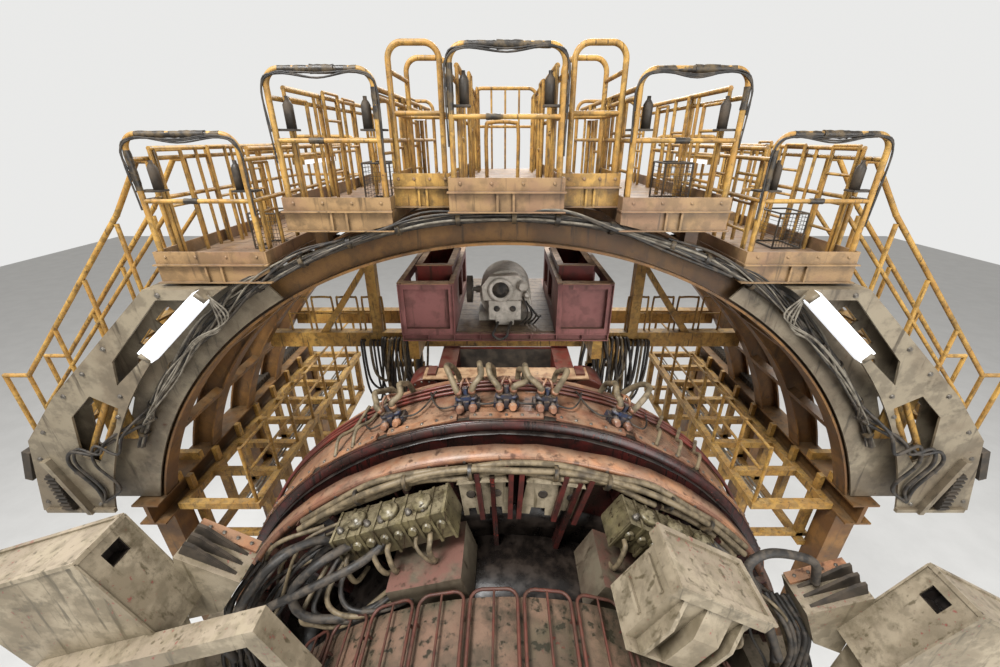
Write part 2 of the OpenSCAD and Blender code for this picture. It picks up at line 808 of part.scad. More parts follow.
module guide(side) {
    x0 = guide_x - guide_w / 2;
    x1 = guide_x + guide_w / 2;
    color(pale) at_park() on_side(side) {
        difference() {
            union() {
                block([x0, guide_front, guide_bottom], [x1, guide_back, guide_top]);
                plate_y(guide_front, guide_back) head_outline();
                block([x0 - 350, guide_back - eps, -mount_half],
                    [x1 - 150, ring_front - seat_gap, mount_half]);
            }
            block([x0 + guide_wall, guide_front + guide_wall, guide_bottom - eps],
                [x1 - guide_wall, guide_back - guide_wall, guide_top - guide_wall]);
            translate([head_corner[0], guide_front + 150, head_corner[1]]) rotate([0, head_lean, 0])
                block([-eps, 0, -260], [200, 180, -110]);
        }
        plate_y(guide_back - eps, guide_back + 420)
            polygon([[3350, 2000], [3000, 2150], [2750, 2600], [3300, 2900]]);
        if (side < 0) plate_y(guide_front - 200, guide_front + eps)
            translate(head_corner) rotate(-head_lean) {
            translate([-1100, -head_deep + 30]) square([2300, 160]);
            translate([-1100, -head_deep - 700]) square([160, 731]);
        }
    }
}

cap_corner = [1040, 3550];
cap_w = 850;
cap_h = 750;
cap_lip = 60;

module cap_box() {
    color(pale) at_park() {
        plate_y(guide_front, guide_back) translate(cap_corner) rotate(-head_lean)
            translate([0, -cap_h]) square([cap_w, cap_h]);
        plate_y(guide_front - cap_lip, guide_back + cap_lip) translate(cap_corner) rotate(-head_lean)
            translate([-cap_lip, -cap_lip]) square([cap_w + 2 * cap_lip, 110]);
        translate([1500, guide_back - eps, 2600]) rotate([-90, 0, 0])
            cylinder(r = 60, h = rib_front - guide_back + eps);
    }
}

module telescope_yoke() {
    color(pale) at_park() difference() {
        union() {
            for (s = [-1, 1]) block([s * guide_x - tele_w / 2, guide_y - tele_d / 2, yoke_top - yoke_d / 2],
                [s * guide_x + tele_w / 2, guide_y + tele_d / 2, tele_top]);
            for (s = [-1, 1]) block([s * guide_x - pad_w / 2, guide_y - pad_d / 2, tele_top - pad_h],
                [s * guide_x + pad_w / 2, guide_y + pad_d / 2, tele_top - 20]);
            block([-guide_x - 250, guide_front, yoke_top - yoke_d], [guide_x + 250, guide_back, yoke_top]);
        }
        translate([0, guide_y, yoke_top - yoke_d - eps]) cylinder(r = pin_r + pin_gap, h = 260);
    }
}

module gripper_head() {
    top = yoke_top - yoke_d - seat_gap;
    color(oxide) at_park() translate([0, guide_y, 0]) difference() {
        union() {
            translate([0, 0, top - 10]) cylinder(r = pin_r, h = 250);
            block([-500, -220, top - 260], [500, 220, top]);
            block([-head_x / 2, -head_y / 2, top - 400], [head_x / 2, head_y / 2, top - 259]);
            for (x = [-1, 1], y = [-1, 1])
                translate([x * (head_x / 2 - 200), y * (head_y / 2 - 180), top - head_d])
                cylinder(r = 110, h = head_d - 399);
        }
    }
}

side_beam(-1);  // side_beam_left
side_beam(1);  // side_beam_right
arch(0);  // arch_1
arch(1);  // arch_2
arch(2);  // arch_3
arch(3);  // arch_4
arch_ties();
legs(-1);  // legs_left
legs(1);  // legs_right
base_frame();
bridge_beams();
travel_beam(-1);  // travel_beam_left
travel_beam(1);  // travel_beam_right
cross_frame();
deck(CENTRE, 1);  // deck_centre
deck(MID, -1);  // deck_mid_left
deck(MID, 1);  // deck_mid_right
deck(OUTER, -1);  // deck_outer_left
deck(OUTER, 1);  // deck_outer_right
deck_rails(CENTRE, 1);  // rails_centre
deck_rails(MID, -1);  // rails_mid_left
deck_rails(MID, 1);  // rails_mid_right
deck_rails(OUTER, -1);  // rails_outer_left
deck_rails(OUTER, 1);  // rails_outer_right
step(-1);  // step_left
step(1);  // step_right
stair(-1);  // stair_left
stair(1);  // stair_right
stair_rails(-1);  // stair_rails_left
stair_rails(1);  // stair_rails_right
bracket(-1);  // bracket_left
bracket(1);  // bracket_right
side_lamps();
deck_lamps();
cable_bundle();
walkway(-1);  // walkway_left
walkway(1);  // walkway_right
jack_pad(-1);  // jack_pad_left
jack_pad(1);  // jack_pad_right
cradle_frame();
cradle_box(-1);  // cradle_box_left
cradle_box(1);  // cradle_box_right
hydraulic_motor();
motor_wheel();
bearing_ring();
carriage_frame();
red_portal();
drive_motors();
valve_sets();
turning_ring();
hose_drum();
drum_hoops();
manifolds();
valve_boxes();
guide(-1);  // guide_left
guide(1);  // guide_right
cap_box();
telescope_yoke();
gripper_head();
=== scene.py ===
"""Looks of the segment erector and its work platforms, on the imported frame."""

import json
import math
import random

import bpy
from mathutils import Matrix, Vector


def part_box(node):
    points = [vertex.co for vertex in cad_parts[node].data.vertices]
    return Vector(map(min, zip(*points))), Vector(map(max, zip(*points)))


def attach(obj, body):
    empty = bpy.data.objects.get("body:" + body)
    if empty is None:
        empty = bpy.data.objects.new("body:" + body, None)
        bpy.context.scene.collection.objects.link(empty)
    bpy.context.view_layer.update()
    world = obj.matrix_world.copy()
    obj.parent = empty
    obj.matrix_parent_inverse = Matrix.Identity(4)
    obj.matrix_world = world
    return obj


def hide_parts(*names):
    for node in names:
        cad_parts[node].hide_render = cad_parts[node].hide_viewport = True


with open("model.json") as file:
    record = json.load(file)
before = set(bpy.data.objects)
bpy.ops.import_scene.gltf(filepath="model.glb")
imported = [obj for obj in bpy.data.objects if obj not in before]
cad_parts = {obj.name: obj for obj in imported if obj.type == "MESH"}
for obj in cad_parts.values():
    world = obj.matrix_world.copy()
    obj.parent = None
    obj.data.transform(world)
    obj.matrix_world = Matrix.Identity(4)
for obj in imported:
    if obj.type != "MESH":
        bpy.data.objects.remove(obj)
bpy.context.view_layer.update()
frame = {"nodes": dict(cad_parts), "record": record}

AXIS_H = 7.2
PARK = math.radians(5)

# The photograph's frame and the camera found from it
PHOTO_W = 1000
FOCAL_PX = 419.3
MIDDLE_PX = 503
SENSOR_MM = 36.0
CAMERA_AT = (-0.04, -6.04, 13.817)
CAMERA_DOWN = math.radians(24.9)

# Places that part.scad names, in metres from the axis
ARCH_R = 5.85
ARCH_FRONT = -1.2
BRACKET_FRONT = -1.5
DECK_FRONT = -1.35
DECK_BACK = 2.6
DECK_D = 0.2
KICK_H = 0.145
RAIL_R = 0.03
RAIL_INSET = 0.058
HOOP_BEND = 0.15
CROSS_Y = 1.36
RING_FRONT = -2.65
RING_R = 3.65
RIB_FRONT = -2.8
BEARING_FRONT = -2.2
BEARING_R = 3.75
DRUM_FRONT = -4.36
DRUM_BACK = -3.53
DRUM_R = 2.75
GUIDE_FRONT = -3.9
GUIDE_BACK = -3.45
HEAD_CORNER = (3.6, 3.4)
HEAD_LEAN = math.radians(24.7)
CAP_CORNER = (1.04, 3.55)
SILL_LEAN = math.atan2(0.3, 0.55)

# Platforms: name, side, inner edge, outer edge, floor, hoop top, middle rail, front edge, rear edge
DECKS = [
    ("centre", 0, -0.62, 0.62, 6.1, 7.43, 6.82, DECK_FRONT, DECK_BACK),
    ("step_left", -1, 0.62, 1.25, 6.13, 7.48, 6.86, -1.15, -0.15),
    ("step_right", 1, 0.62, 1.25, 6.13, 7.48, 6.86, -1.15, -0.15),
    ("mid_left", -1, 1.25, 2.42, 5.9, 7.23, 6.6, DECK_FRONT, DECK_BACK),
    ("mid_right", 1, 1.25, 2.42, 5.9, 7.23, 6.6, DECK_FRONT, DECK_BACK),
    ("outer_left", -1, 2.73, 4.01, 5.31, 6.66, 6.0, DECK_FRONT, DECK_BACK),
    ("outer_right", 1, 2.73, 4.01, 5.31, 6.66, 6.0, DECK_FRONT, DECK_BACK),
]

AT_AXIS = Matrix.Translation((0, 0, AXIS_H))
AT_PARK = AT_AXIS @ Matrix.Rotation(PARK, 4, "Y")


def polar(radius, degrees, y):
    """Point at a radius and an angle clockwise from the top, seen from the front."""
    angle = math.radians(degrees)
    return Vector((radius * math.sin(angle), y, radius * math.cos(angle)))


# Materials


class Graph:
    """A material's node tree, with short ways to add nodes and to mix values."""

    def __init__(self, name):
        self.material = bpy.data.materials.new(name)
        self.material.use_nodes = True
        self.tree = self.material.node_tree
        self.shader = self.tree.nodes["Principled BSDF"]
        self.place = self.add("ShaderNodeTexCoord").outputs["Object"]
        self.normal = self.tree.nodes[-1].outputs["Normal"]

    def add(self, kind, inputs=None, **settings):
        made = self.tree.nodes.new(kind)
        for key, value in settings.items():
            setattr(made, key, value)
        for key, value in (inputs or {}).items():
            if isinstance(value, bpy.types.NodeSocket):
                self.tree.links.new(value, made.inputs[key])
            else:
                made.inputs[key].default_value = value
        return made

    def noise(self, scale, detail=4.0, stretch=(1, 1, 1), shift=0.0):
        mapped = self.add("ShaderNodeMapping", {"Vector": self.place, "Scale": stretch,
                                                "Location": (shift, shift, shift)})
        return self.add("ShaderNodeTexNoise", {"Vector": mapped.outputs[0], "Scale": scale, "Detail": detail,
                                               "Roughness": 0.6}).outputs["Fac"]

    def steps(self, value, low, high, to_low=0.0, to_high=1.0):
        return self.add("ShaderNodeMapRange", {"Value": value, "From Min": low, "From Max": high,
                                               "To Min": to_low, "To Max": to_high},
                        interpolation_type="SMOOTHSTEP").outputs[0]

    def math(self, operation, a, b=0.5):
        return self.add("ShaderNodeMath", {0: a, 1: b}, operation=operation).outputs[0]

    def mix(self, share, a, b):
        def colour(value):
            return value if isinstance(value, bpy.types.NodeSocket) else (*value, 1.0)
        return self.add("ShaderNodeMix", {0: share, 6: colour(a), 7: colour(b)}, data_type="RGBA").outputs[2]

    def link(self, value, name):
        if isinstance(value, bpy.types.NodeSocket):
            self.tree.links.new(value, self.shader.inputs[name])
        else:
            self.shader.inputs[name].default_value = value

    def bump(self, height, strength, distance=0.004):
        made = self.add("ShaderNodeBump", {"Height": height, "Strength": strength, "Distance": distance})
        self.link(made.outputs[0], "Normal")


def worn_paint(name, base, shade, grime=(0.03, 0.02, 0.012), rust=(0.11, 0.04, 0.015),
               dust=(0.3, 0.23, 0.14), dirty=0.5, chipped=0.3, dusty=0.4, rough=0.55, scale=1.0, seed=0.0):
    """Paint with shade changes, dirt, narrow runs, stains, chips with rust, and dust on what faces up, and with
    painted shade: the grime colour darkens corners and recesses found by ambient occlusion.
    """
    g = Graph(name)
    clouds = g.noise(1.3 * scale, 6.0, shift=seed)
    fine = g.noise(14.0 * scale, 8.0, shift=seed + 3)
    mottle = g.noise(4.5 * scale, 12.0, shift=seed + 13)
    colour = g.mix(g.steps(clouds, 0.42, 0.58), base, shade)
    film = [0.35 * b + 0.65 * d for b, d in zip(base, grime)]
    colour = g.mix(g.math("MULTIPLY", g.steps(mottle, 0.46, 0.6), 0.25 + 0.6 * dirty), colour, film)
    up = g.steps(g.add("ShaderNodeSeparateXYZ", {0: g.normal}).outputs[2], 0.3, 0.95)
    dust_spread = g.steps(g.noise(5.0 * scale, 10.0, shift=seed + 5), 0.34, 0.6)
    dust_share = g.math("MULTIPLY", g.math("MULTIPLY", up, dust_spread), dusty)
    colour = g.mix(dust_share, colour, dust)
    runs = g.steps(g.noise(11.0 * scale, 5.0, (1, 1, 0.08), seed + 7), 0.62 - 0.1 * dirty, 0.74 - 0.1 * dirty)
    broken = g.math("ADD", g.math("MULTIPLY", g.noise(2.6 * scale, 12.0, shift=seed + 9), 0.62),
                    g.math("MULTIPLY", fine, 0.38))
    stains = g.steps(broken, 0.58 - 0.1 * dirty, 0.75 - 0.1 * dirty)
    # Painted shade: the ambient occlusion mask darkens corners, creases and recesses with the grime colour, and
    # is joined to the real runs and stains below
    nooks = g.add("ShaderNodeAmbientOcclusion", {"Distance": 0.3}, samples=1).outputs["AO"]
    corners = g.math("MULTIPLY", g.steps(nooks, 0.3, 0.85, 1.0, 0.0), 0.5 + 0.5 * dirty)
    patches = g.math("MULTIPLY", g.math("MAXIMUM", runs, stains), min(1.0, 0.4 + dirty * 0.6))
    grime_and_painted_shade = g.math("MAXIMUM", patches, corners)
    colour = g.mix(grime_and_painted_shade, colour, grime)
    chips = g.steps(g.math("ADD", g.math("MULTIPLY", fine, 0.65), g.math("MULTIPLY", clouds, 0.35)),
                    0.66 - 0.09 * chipped, 0.69 - 0.09 * chipped)
    colour = g.mix(g.math("MULTIPLY", chips, 0.85), colour, rust)
    g.link(colour, "Base Color")
    g.link(g.steps(grime_and_painted_shade, 0.0, 1.0, rough, max(0.25, rough - 0.2)), "Roughness")
    height = g.math("ADD", g.math("MULTIPLY", fine, 0.6), g.math("MULTIPLY", chips, -0.8))
    g.bump(g.math("ADD", height, g.math("MULTIPLY", mottle, 1.2)), 0.4)
    return g.material


def greasy(name, base, shade, rough=0.38, scale=1.0, metallic=0.0):
    """Dark metal or rubber under grease, with wet and dry patches."""
    g = Graph(name)
    patches = g.noise(6.0 * scale, 8.0)
    spots = g.noise(40.0 * scale, 4.0, shift=2)
    g.link(g.mix(g.steps(patches, 0.4, 0.65), base, shade), "Base Color")
    g.link(g.steps(patches, 0.35, 0.7, rough, rough + 0.35), "Roughness")
    g.link(metallic, "Metallic")
    g.bump(g.math("ADD", patches, g.math("MULTIPLY", spots, 0.4)), 0.5)
    return g.material


def hose(name, base, shade, band=0.0, rough=0.6):
    """Rubber hose with a fine wound surface, scuffed and dusty."""
    g = Graph(name)
    scuffs = g.noise(9.0, 7.0)
    fine = g.noise(90.0, 3.0, shift=4)
    colour = g.mix(g.steps(scuffs, 0.42, 0.62), base, shade)
    colour = g.mix(g.math("MULTIPLY", g.steps(g.noise(3.0, 8.0, shift=8), 0.55, 0.7), 0.75), colour,
                   (0.035, 0.026, 0.018))
    g.link(colour, "Base Color")
    g.link(g.steps(scuffs, 0.3, 0.7, rough - 0.12, rough + 0.15), "Roughness")
    g.bump(g.math("ADD", g.math("MULTIPLY", fine, 0.5 + band), scuffs), 0.4, 0.003)
    return g.material


def glow(name, colour, strength):
    """Lit tube or diffuser."""
    g = Graph(name)
    g.link((*colour, 1.0), "Base Color")
    g.link((*colour, 1.0), "Emission Color")
    g.link(strength, "Emission Strength")
    g.link(g.steps(g.noise(30.0), 0.3, 0.7, 0.25, 0.45), "Roughness")
    return g.material


YELLOW = worn_paint("yellow_rail_paint", (0.5, 0.29, 0.068), (0.4, 0.21, 0.045),
                    dirty=0.6, chipped=0.5, dusty=0.35, scale=2.2)
YELLOW_PLATE = worn_paint("yellow_deck_paint", (0.34, 0.21, 0.095), (0.27, 0.155, 0.085),
                          dust=(0.28, 0.2, 0.145), dirty=0.45, chipped=0.35, dusty=0.75, seed=11)
OCHRE = worn_paint("ochre_beam_paint", (0.235, 0.115, 0.032), (0.145, 0.066, 0.02),
                   dust=(0.2, 0.145, 0.085), dirty=0.55, chipped=0.4, dusty=0.45, seed=21)
CREAM = worn_paint("cream_bracket_paint", (0.27, 0.225, 0.155), (0.19, 0.15, 0.1), dusty=0.45, seed=31)
ROSE = worn_paint("rose_cradle_paint", (0.31, 0.125, 0.115), (0.22, 0.078, 0.072),
                  dust=(0.27, 0.17, 0.11), dirty=0.35, dusty=0.85, seed=41)
RIM = worn_paint("tan_dusty_rims", (0.36, 0.2, 0.1), (0.28, 0.145, 0.075),
                 dust=(0.5, 0.33, 0.19), dirty=0.35, dusty=0.9, scale=1.5, seed=45)
OXIDE = worn_paint("oxide_red_paint", (0.17, 0.02, 0.013), (0.085, 0.011, 0.008),
                   dust=(0.2, 0.12, 0.08), dusty=0.45, rough=0.42, seed=51)
RUST = worn_paint("rusty_guard_bars", (0.1, 0.022, 0.014), (0.065, 0.018, 0.012),
                  dirty=0.4, chipped=0.6, dusty=0.08, rough=0.6, scale=3.0, seed=55)
SALMON = worn_paint("salmon_ring_paint", (0.42, 0.2, 0.1), (0.22, 0.1, 0.06),
                    (0.04, 0.018, 0.012), (0.14, 0.022, 0.012), (0.3, 0.21, 0.14),
                    dirty=0.6, chipped=0.5, dusty=0.6, rough=0.45, seed=61)
GRIME = worn_paint("dark_red_grime", (0.06, 0.01, 0.008), (0.02, 0.008, 0.006),
                   (0.01, 0.007, 0.006), (0.13, 0.022, 0.014),
                   dirty=0.85, chipped=0.7, dusty=0.1, rough=0.35, scale=2.0, seed=65)
DRUM = worn_paint("streaked_drum_paint", (0.215, 0.125, 0.085), (0.09, 0.072, 0.044),
                  (0.028, 0.027, 0.018), (0.14, 0.022, 0.014), (0.2, 0.14, 0.095),
                  dirty=0.9, chipped=0.5, dusty=0.35, rough=0.4, seed=71)
PALE = worn_paint("pale_arm_paint", (0.36, 0.3, 0.21), (0.24, 0.195, 0.13),
                  (0.07, 0.055, 0.028), (0.25, 0.075, 0.06), (0.36, 0.29, 0.22),
                  dirty=0.6, chipped=0.55, dusty=0.5, scale=1.5, seed=81)
# Off-white motor paint made lighter than its own colour: painted light, to make up for the shade that falls on
# the motor under the decks
OFF_WHITE_WITH_PAINTED_LIGHT = worn_paint("off_white_motor_paint_with_painted_light", (0.6, 0.55, 0.48), (0.46, 0.42, 0.36),
                       (0.1, 0.085, 0.06), (0.2, 0.08, 0.04), (0.5, 0.42, 0.33),
                       dirty=0.35, scale=2.0, seed=85)
DEEP_RED = worn_paint("deep_red_ribs", (0.09, 0.014, 0.01), (0.05, 0.01, 0.008),
                      (0.014, 0.009, 0.007), (0.16, 0.04, 0.025),
                      dirty=0.7, chipped=0.5, dusty=0.3, scale=2.5, seed=57)
KHAKI = worn_paint("khaki_manifold_metal", (0.15, 0.125, 0.062), (0.065, 0.055, 0.028),
                   dust=(0.32, 0.27, 0.17), dirty=0.7, chipped=0.2, dusty=0.6, rough=0.38, scale=2.5, seed=91)
BOX_COAT = worn_paint("valve_box_paint", (0.15, 0.125, 0.085), (0.1, 0.08, 0.055),
                      dust=(0.17, 0.08, 0.06), dirty=0.55, chipped=0.2, dusty=1.0, seed=95)
BLUE = worn_paint("blue_valve_paint", (0.016, 0.038, 0.1), (0.05, 0.048, 0.052),
                  dust=(0.2, 0.15, 0.105), dirty=0.7, chipped=0.5, dusty=0.9, scale=6.0, seed=101)
PLANK = worn_paint("dusty_floor_planks", (0.15, 0.105, 0.066), (0.1, 0.07, 0.045),
                   dust=(0.24, 0.17, 0.1), chipped=0.2, dusty=0.7, scale=2.0, seed=111)
GREASE = greasy("greasy_dark_steel", (0.009, 0.007, 0.006), (0.026, 0.018, 0.013), 0.24)
DARK = greasy("dark_dusty_steel", (0.04, 0.033, 0.026), (0.085, 0.065, 0.046), 0.5, metallic=0.2)
STEEL = greasy("bare_steel", (0.22, 0.2, 0.17), (0.11, 0.095, 0.08), 0.36, 2.0, 0.75)
BLACK_HOSE = hose("black_hose_rubber", (0.018, 0.016, 0.014), (0.07, 0.056, 0.042))
TAN_HOSE = hose("tan_hose_rubber", (0.19, 0.145, 0.085), (0.085, 0.064, 0.036))
GREY_CABLE = hose("grey_cable_sheath", (0.2, 0.175, 0.135), (0.1, 0.085, 0.062))
TAPE = hose("black_tape", (0.022, 0.018, 0.014), (0.1, 0.07, 0.035), 0.5, 0.5)
LAMP = glow("lit_lamp_tube", (0.93, 0.96, 1.0), 0.8)

# Coats of each material slot; the first one is for the frame's own nodes
COATS_OF_SLOT = {
    "platform_yellow": (YELLOW, YELLOW_PLATE), "arch_ochre": (OCHRE,), "bracket_cream": (CREAM,),
    "cradle_rose": (ROSE, BOX_COAT, PLANK, RIM), "oxide_red": (OXIDE, RUST, GRIME, DEEP_RED),
    "ring_salmon": (SALMON, DRUM), "arm_pale": (PALE, OFF_WHITE_WITH_PAINTED_LIGHT), "manifold_khaki": (KHAKI,),
    "valve_blue": (BLUE,), "dark_steel": (DARK, GREASE, STEEL), "lamp": (LAMP,),
    "black_rubber": (BLACK_HOSE, TAN_HOSE, GREY_CABLE, TAPE),
}
SPECIAL_COATS = {
    "turning_ring": GRIME, "hydraulic_motor": OFF_WHITE_WITH_PAINTED_LIGHT, "hose_drum": DRUM, "drum_hoops": RUST,
    "valve_boxes": BOX_COAT, "deck_centre": YELLOW_PLATE, "deck_mid_left": YELLOW_PLATE,
    "deck_mid_right": YELLOW_PLATE, "deck_outer_left": YELLOW_PLATE, "deck_outer_right": YELLOW_PLATE,
}


def coat_nodes():
    slots = {entry["node"]: entry["material_slot"] for entry in frame["record"]["subparts"]}
    for name, part in frame["nodes"].items():
        coat = SPECIAL_COATS.get(name, COATS_OF_SLOT[slots[name]][0])
        part.data.materials.clear()
        part.data.materials.append(coat)


# Shapes


def smooth_route(points, steps=6):
    """Points along a smooth curve through the given ones."""
    route = [Vector(p) for p in points]
    ends = [2 * route[0] - route[1]] + route + [2 * route[-1] - route[-2]]
    result = []
    for i in range(1, len(ends) - 2):
        a, b, c, d = ends[i - 1:i + 3]
        for k in range(steps):
            t = k / steps
            result.append(0.5 * (2 * b + (c - a) * t + (2 * a - 5 * b + 4 * c - d) * t * t
                                 + (3 * b - a - 3 * c + d) * t ** 3))
    result.append(route[-1])
    return result


def circle(at, side, other, radius, sides):
    """Points round a centre, in the plane of two directions."""
    angles = [2 * math.pi * k / sides for k in range(sides)]
    return [at + (side * math.cos(a) + other * math.sin(a)) * radius for a in angles]


def loop_faces(loops, sides):
    """Faces between loops that follow each other, with the same number of points each."""
    faces = []
    for i in range(loops - 1):
        for k in range(sides):
            n = (k + 1) % sides
            faces.append((i * sides + k, i * sides + n, (i + 1) * sides + n, (i + 1) * sides + k))
    return faces


class Piece:
    """One mesh put together from blocks, tubes and plates, which rides on a body."""

    def __init__(self, name, body, coat, place=AT_AXIS):
        self.name = name
        self.body = body
        self.coat = coat
        self.place = place
        self.points = []
        self.faces = []
        self.round = []

    def shell(self, points, faces, turn=None, rounded=False):
        first = len(self.points)
        matrix = self.place if turn is None else self.place @ turn
        way = -1 if matrix.determinant() < 0 else 1
        self.points.extend(matrix @ Vector(p) for p in points)
        self.faces.extend(tuple(first + i for i in face[::way]) for face in faces)
        self.round.extend([rounded] * len(faces))

    def block(self, a, b, turn=None):
        """Box between two opposite corners, in any order."""
        spans = [sorted(ends) for ends in zip(a, b)]
        corners = [(x, y, z) for x in spans[0] for y in spans[1] for z in spans[2]]
        self.shell(corners, [(0, 1, 3, 2), (4, 6, 7, 5), (0, 4, 5, 1), (2, 3, 7, 6), (0, 2, 6, 4), (1, 5, 7, 3)],
                   turn)

    def prism(self, outline, place, turn):
        """Outline drawn at both ends, each point set in space by the function place."""
        count = len(outline)
        pairs = zip(outline[-1:] + outline[:-1], outline)
        area = sum(a[0] * b[1] - b[0] * a[1] for a, b in pairs)
        ring = outline if area > 0 else outline[::-1]
        faces = [tuple(range(count)), tuple(range(2 * count - 1, count - 1, -1))]
        faces += [(i, i + count, (i + 1) % count + count, (i + 1) % count) for i in range(count)]
        self.shell([place(end, *at) for end in (0, 1) for at in ring], faces, turn)

    def plate(self, outline, y0, y1, turn=None):
        """Outline in X and Z, between two depths."""
        self.prism(outline, lambda end, x, z: (x, (y0, y1)[end], z), turn)

    def wedge(self, outline, x0, x1, turn=None):
        """Outline in Y and Z, between two places along X."""
        self.prism(outline, lambda end, y, z: ((x1, x0)[end], y, z), turn)

    def tube(self, points, radius, sides=8, turn=None, steps=6, wobble=0.0, rng=None):
        """Tube along a smooth curve through the points."""
        route = smooth_route(points, steps) if steps else [Vector(p) for p in points]
        side = (route[1] - route[0]).normalized().orthogonal().normalized()
        rings = []
        for i, at in enumerate(route):
            ahead = (route[min(i + 1, len(route) - 1)] - route[max(i - 1, 0)]).normalized()
            side = (side - ahead * side.dot(ahead)).normalized()
            r = radius * (1 + (rng.uniform(-wobble, wobble) if wobble else 0))
            rings.extend(circle(at, side, ahead.cross(side), r, sides))
        self.shell(rings, loop_faces(len(route), sides), turn, True)
        self.shell(rings[:sides], [tuple(range(sides - 1, -1, -1))], turn)
        self.shell(rings[-sides:], [tuple(range(sides))], turn)

    def rod(self, a, b, radius, sides=12, turn=None):
        self.tube([a, b], radius, sides, turn, 0)

    def lathe(self, base, axis, profile, sides=16, turn=None):
        """Turned shape: profile lists distance along the axis and radius."""
        axis = Vector(axis).normalized()
        side = axis.orthogonal().normalized()
        rings = []
        for along, radius in profile:
            rings.extend(circle(Vector(base) + axis * along, side, axis.cross(side), radius, sides))
        around = loop_faces(len(profile), sides)
        first = tuple(range(sides - 1, -1, -1))
        last = tuple(range(len(rings) - sides, len(rings)))
        self.shell(rings, [first, *around, last], turn)
        self.round[-len(around) - 2:] = [False] + [True] * len(around) + [False]

    def bolt(self, at, axis, radius=0.018):
        self.lathe(at, axis, [(0, radius * 1.5), (0.004, radius * 1.5), (0.004, radius), (radius, radius)], 6)

    def done(self):
        mesh = bpy.data.meshes.new(self.name)
        mesh.from_pydata(self.points, [], self.faces)
        mesh.polygons.foreach_set("use_smooth", self.round)
        mesh.materials.append(self.coat)
        mesh.validate()
        mesh.update()
        made = bpy.data.objects.new(self.name, mesh)
        bpy.context.scene.collection.objects.link(made)
        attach(made, self.body)
        return made


def make_all(*pieces):
    for piece in pieces:
        piece.done()


# Platforms


def deck_spans(steps=True):
    """Each platform with its sides ordered from left to right, with or without the two narrow steps."""
    for name, side, low, high, *rest in DECKS:
        if steps or not name.startswith("step"):
            x0, x1 = sorted(((side or 1) * low, (side or 1) * high))
            yield name, x0, x1, *rest


def taped_hoops():
    """Black tape on the hoops' top bars, middle rails and one post each, with knots where cables are tied."""
    rng = random.Random(3)
    tape = Piece("hoop_tape", "gantry", TAPE)
    cable = Piece("hoop_cables", "gantry", BLACK_HOSE)
    for name, x0, x1, floor, top, middle, front, back in deck_spans(steps=False):
        left, right, y = x0 + RAIL_INSET, x1 - RAIL_INSET, front + RAIL_INSET
        middle_at = rng.uniform(0.35, 0.6)
        spans = [(left + HOOP_BEND, right - HOOP_BEND, 0.034),
                 (left + middle_at * (right - left), left + (middle_at + 0.22) * (right - left), 0.041)]
        for a, b, radius in spans:
            count = int((b - a) / 0.035)
            tape.tube([(a + (b - a) * i / count, y, top - rng.uniform(0, 0.004)) for i in range(count + 1)],
                      radius, 10, steps=0, wobble=0.09, rng=rng)
        a = left + rng.uniform(0.3, 0.5) * (right - left)
        tape.tube([(a + 0.03 * i, y, middle) for i in range(6)], 0.03, 10, steps=0, wobble=0.1, rng=rng)
        post = left if rng.random() < 0.6 else right
        tape.tube([(post, y, top - HOOP_BEND - 0.04 * i) for i in range(rng.randint(6, 12))], 0.034, 10,
                  steps=0, wobble=0.08, rng=rng)
        for k in range(3):
            drop = rng.uniform(0.3, 0.9)
            sag = rng.uniform(0.03, 0.09)
            route = [(left - 0.035, y - 0.02, top - drop), (left - 0.035, y - 0.03, top - HOOP_BEND),
                     (left + HOOP_BEND, y - 0.035, top - 0.03), ((left + right) / 2, y - 0.04, top - sag),
                     (right - HOOP_BEND, y - 0.035, top - 0.02), (right + 0.03, y - 0.03, top - HOOP_BEND),
                     (right + 0.03, y - 0.02, top - drop * 1.1)]
            cable.tube([Vector(p) + Vector((0, 0, rng.uniform(-0.012, 0.012))) for p in route], 0.009, 6)
    make_all(tape, cable)


def fascias():
    """Ledges above and below each front plate, bolts on the kick plates and the seam of the floor plates."""
    ledge = Piece("deck_ledges", "gantry", YELLOW_PLATE)
    for name, x0, x1, floor, top, middle, front, back in deck_spans():
        ledge.block((x0 - 0.015, front - 0.045, floor - 0.008), (x1 + 0.015, front, floor + 0.008))
        ledge.block((x0 - 0.015, front - 0.045, floor - DECK_D - 0.012),
                    (x1 + 0.015, front + 0.1, floor - DECK_D))
        for x in (x0 - 0.012, x1):
            ledge.block((x, front, floor - 0.008), (x + 0.012, back, floor + 0.008))
        for i in range(4):
            x = x0 + (x1 - x0) * (0.1 + 0.27 * i)
            ledge.bolt((x, front, floor + KICK_H * 0.6), (0, -1, 0), 0.012)
        plank = 0.32
        y = front + 0.15
        while y + plank < back - 0.05:
            ledge.block((x0 + 0.07, y, floor), (x1 - 0.07, y + plank - 0.012, floor + 0.004))
            y += plank
    ledge.done()


def ladder_frame(piece, x, y0, y1, z0, z1, bars, radius=0.022):
    """Upright frame in a plane of constant X: two posts and rungs between them."""
    for y in (y0, y1):
        piece.rod((x, y, z0), (x, y, z1), radius)
    for i in range(bars):
        z = z0 + (z1 - z0) * (i + 1) / bars
        piece.rod((x, y0, z), (x, y1, z), radius * 0.8)


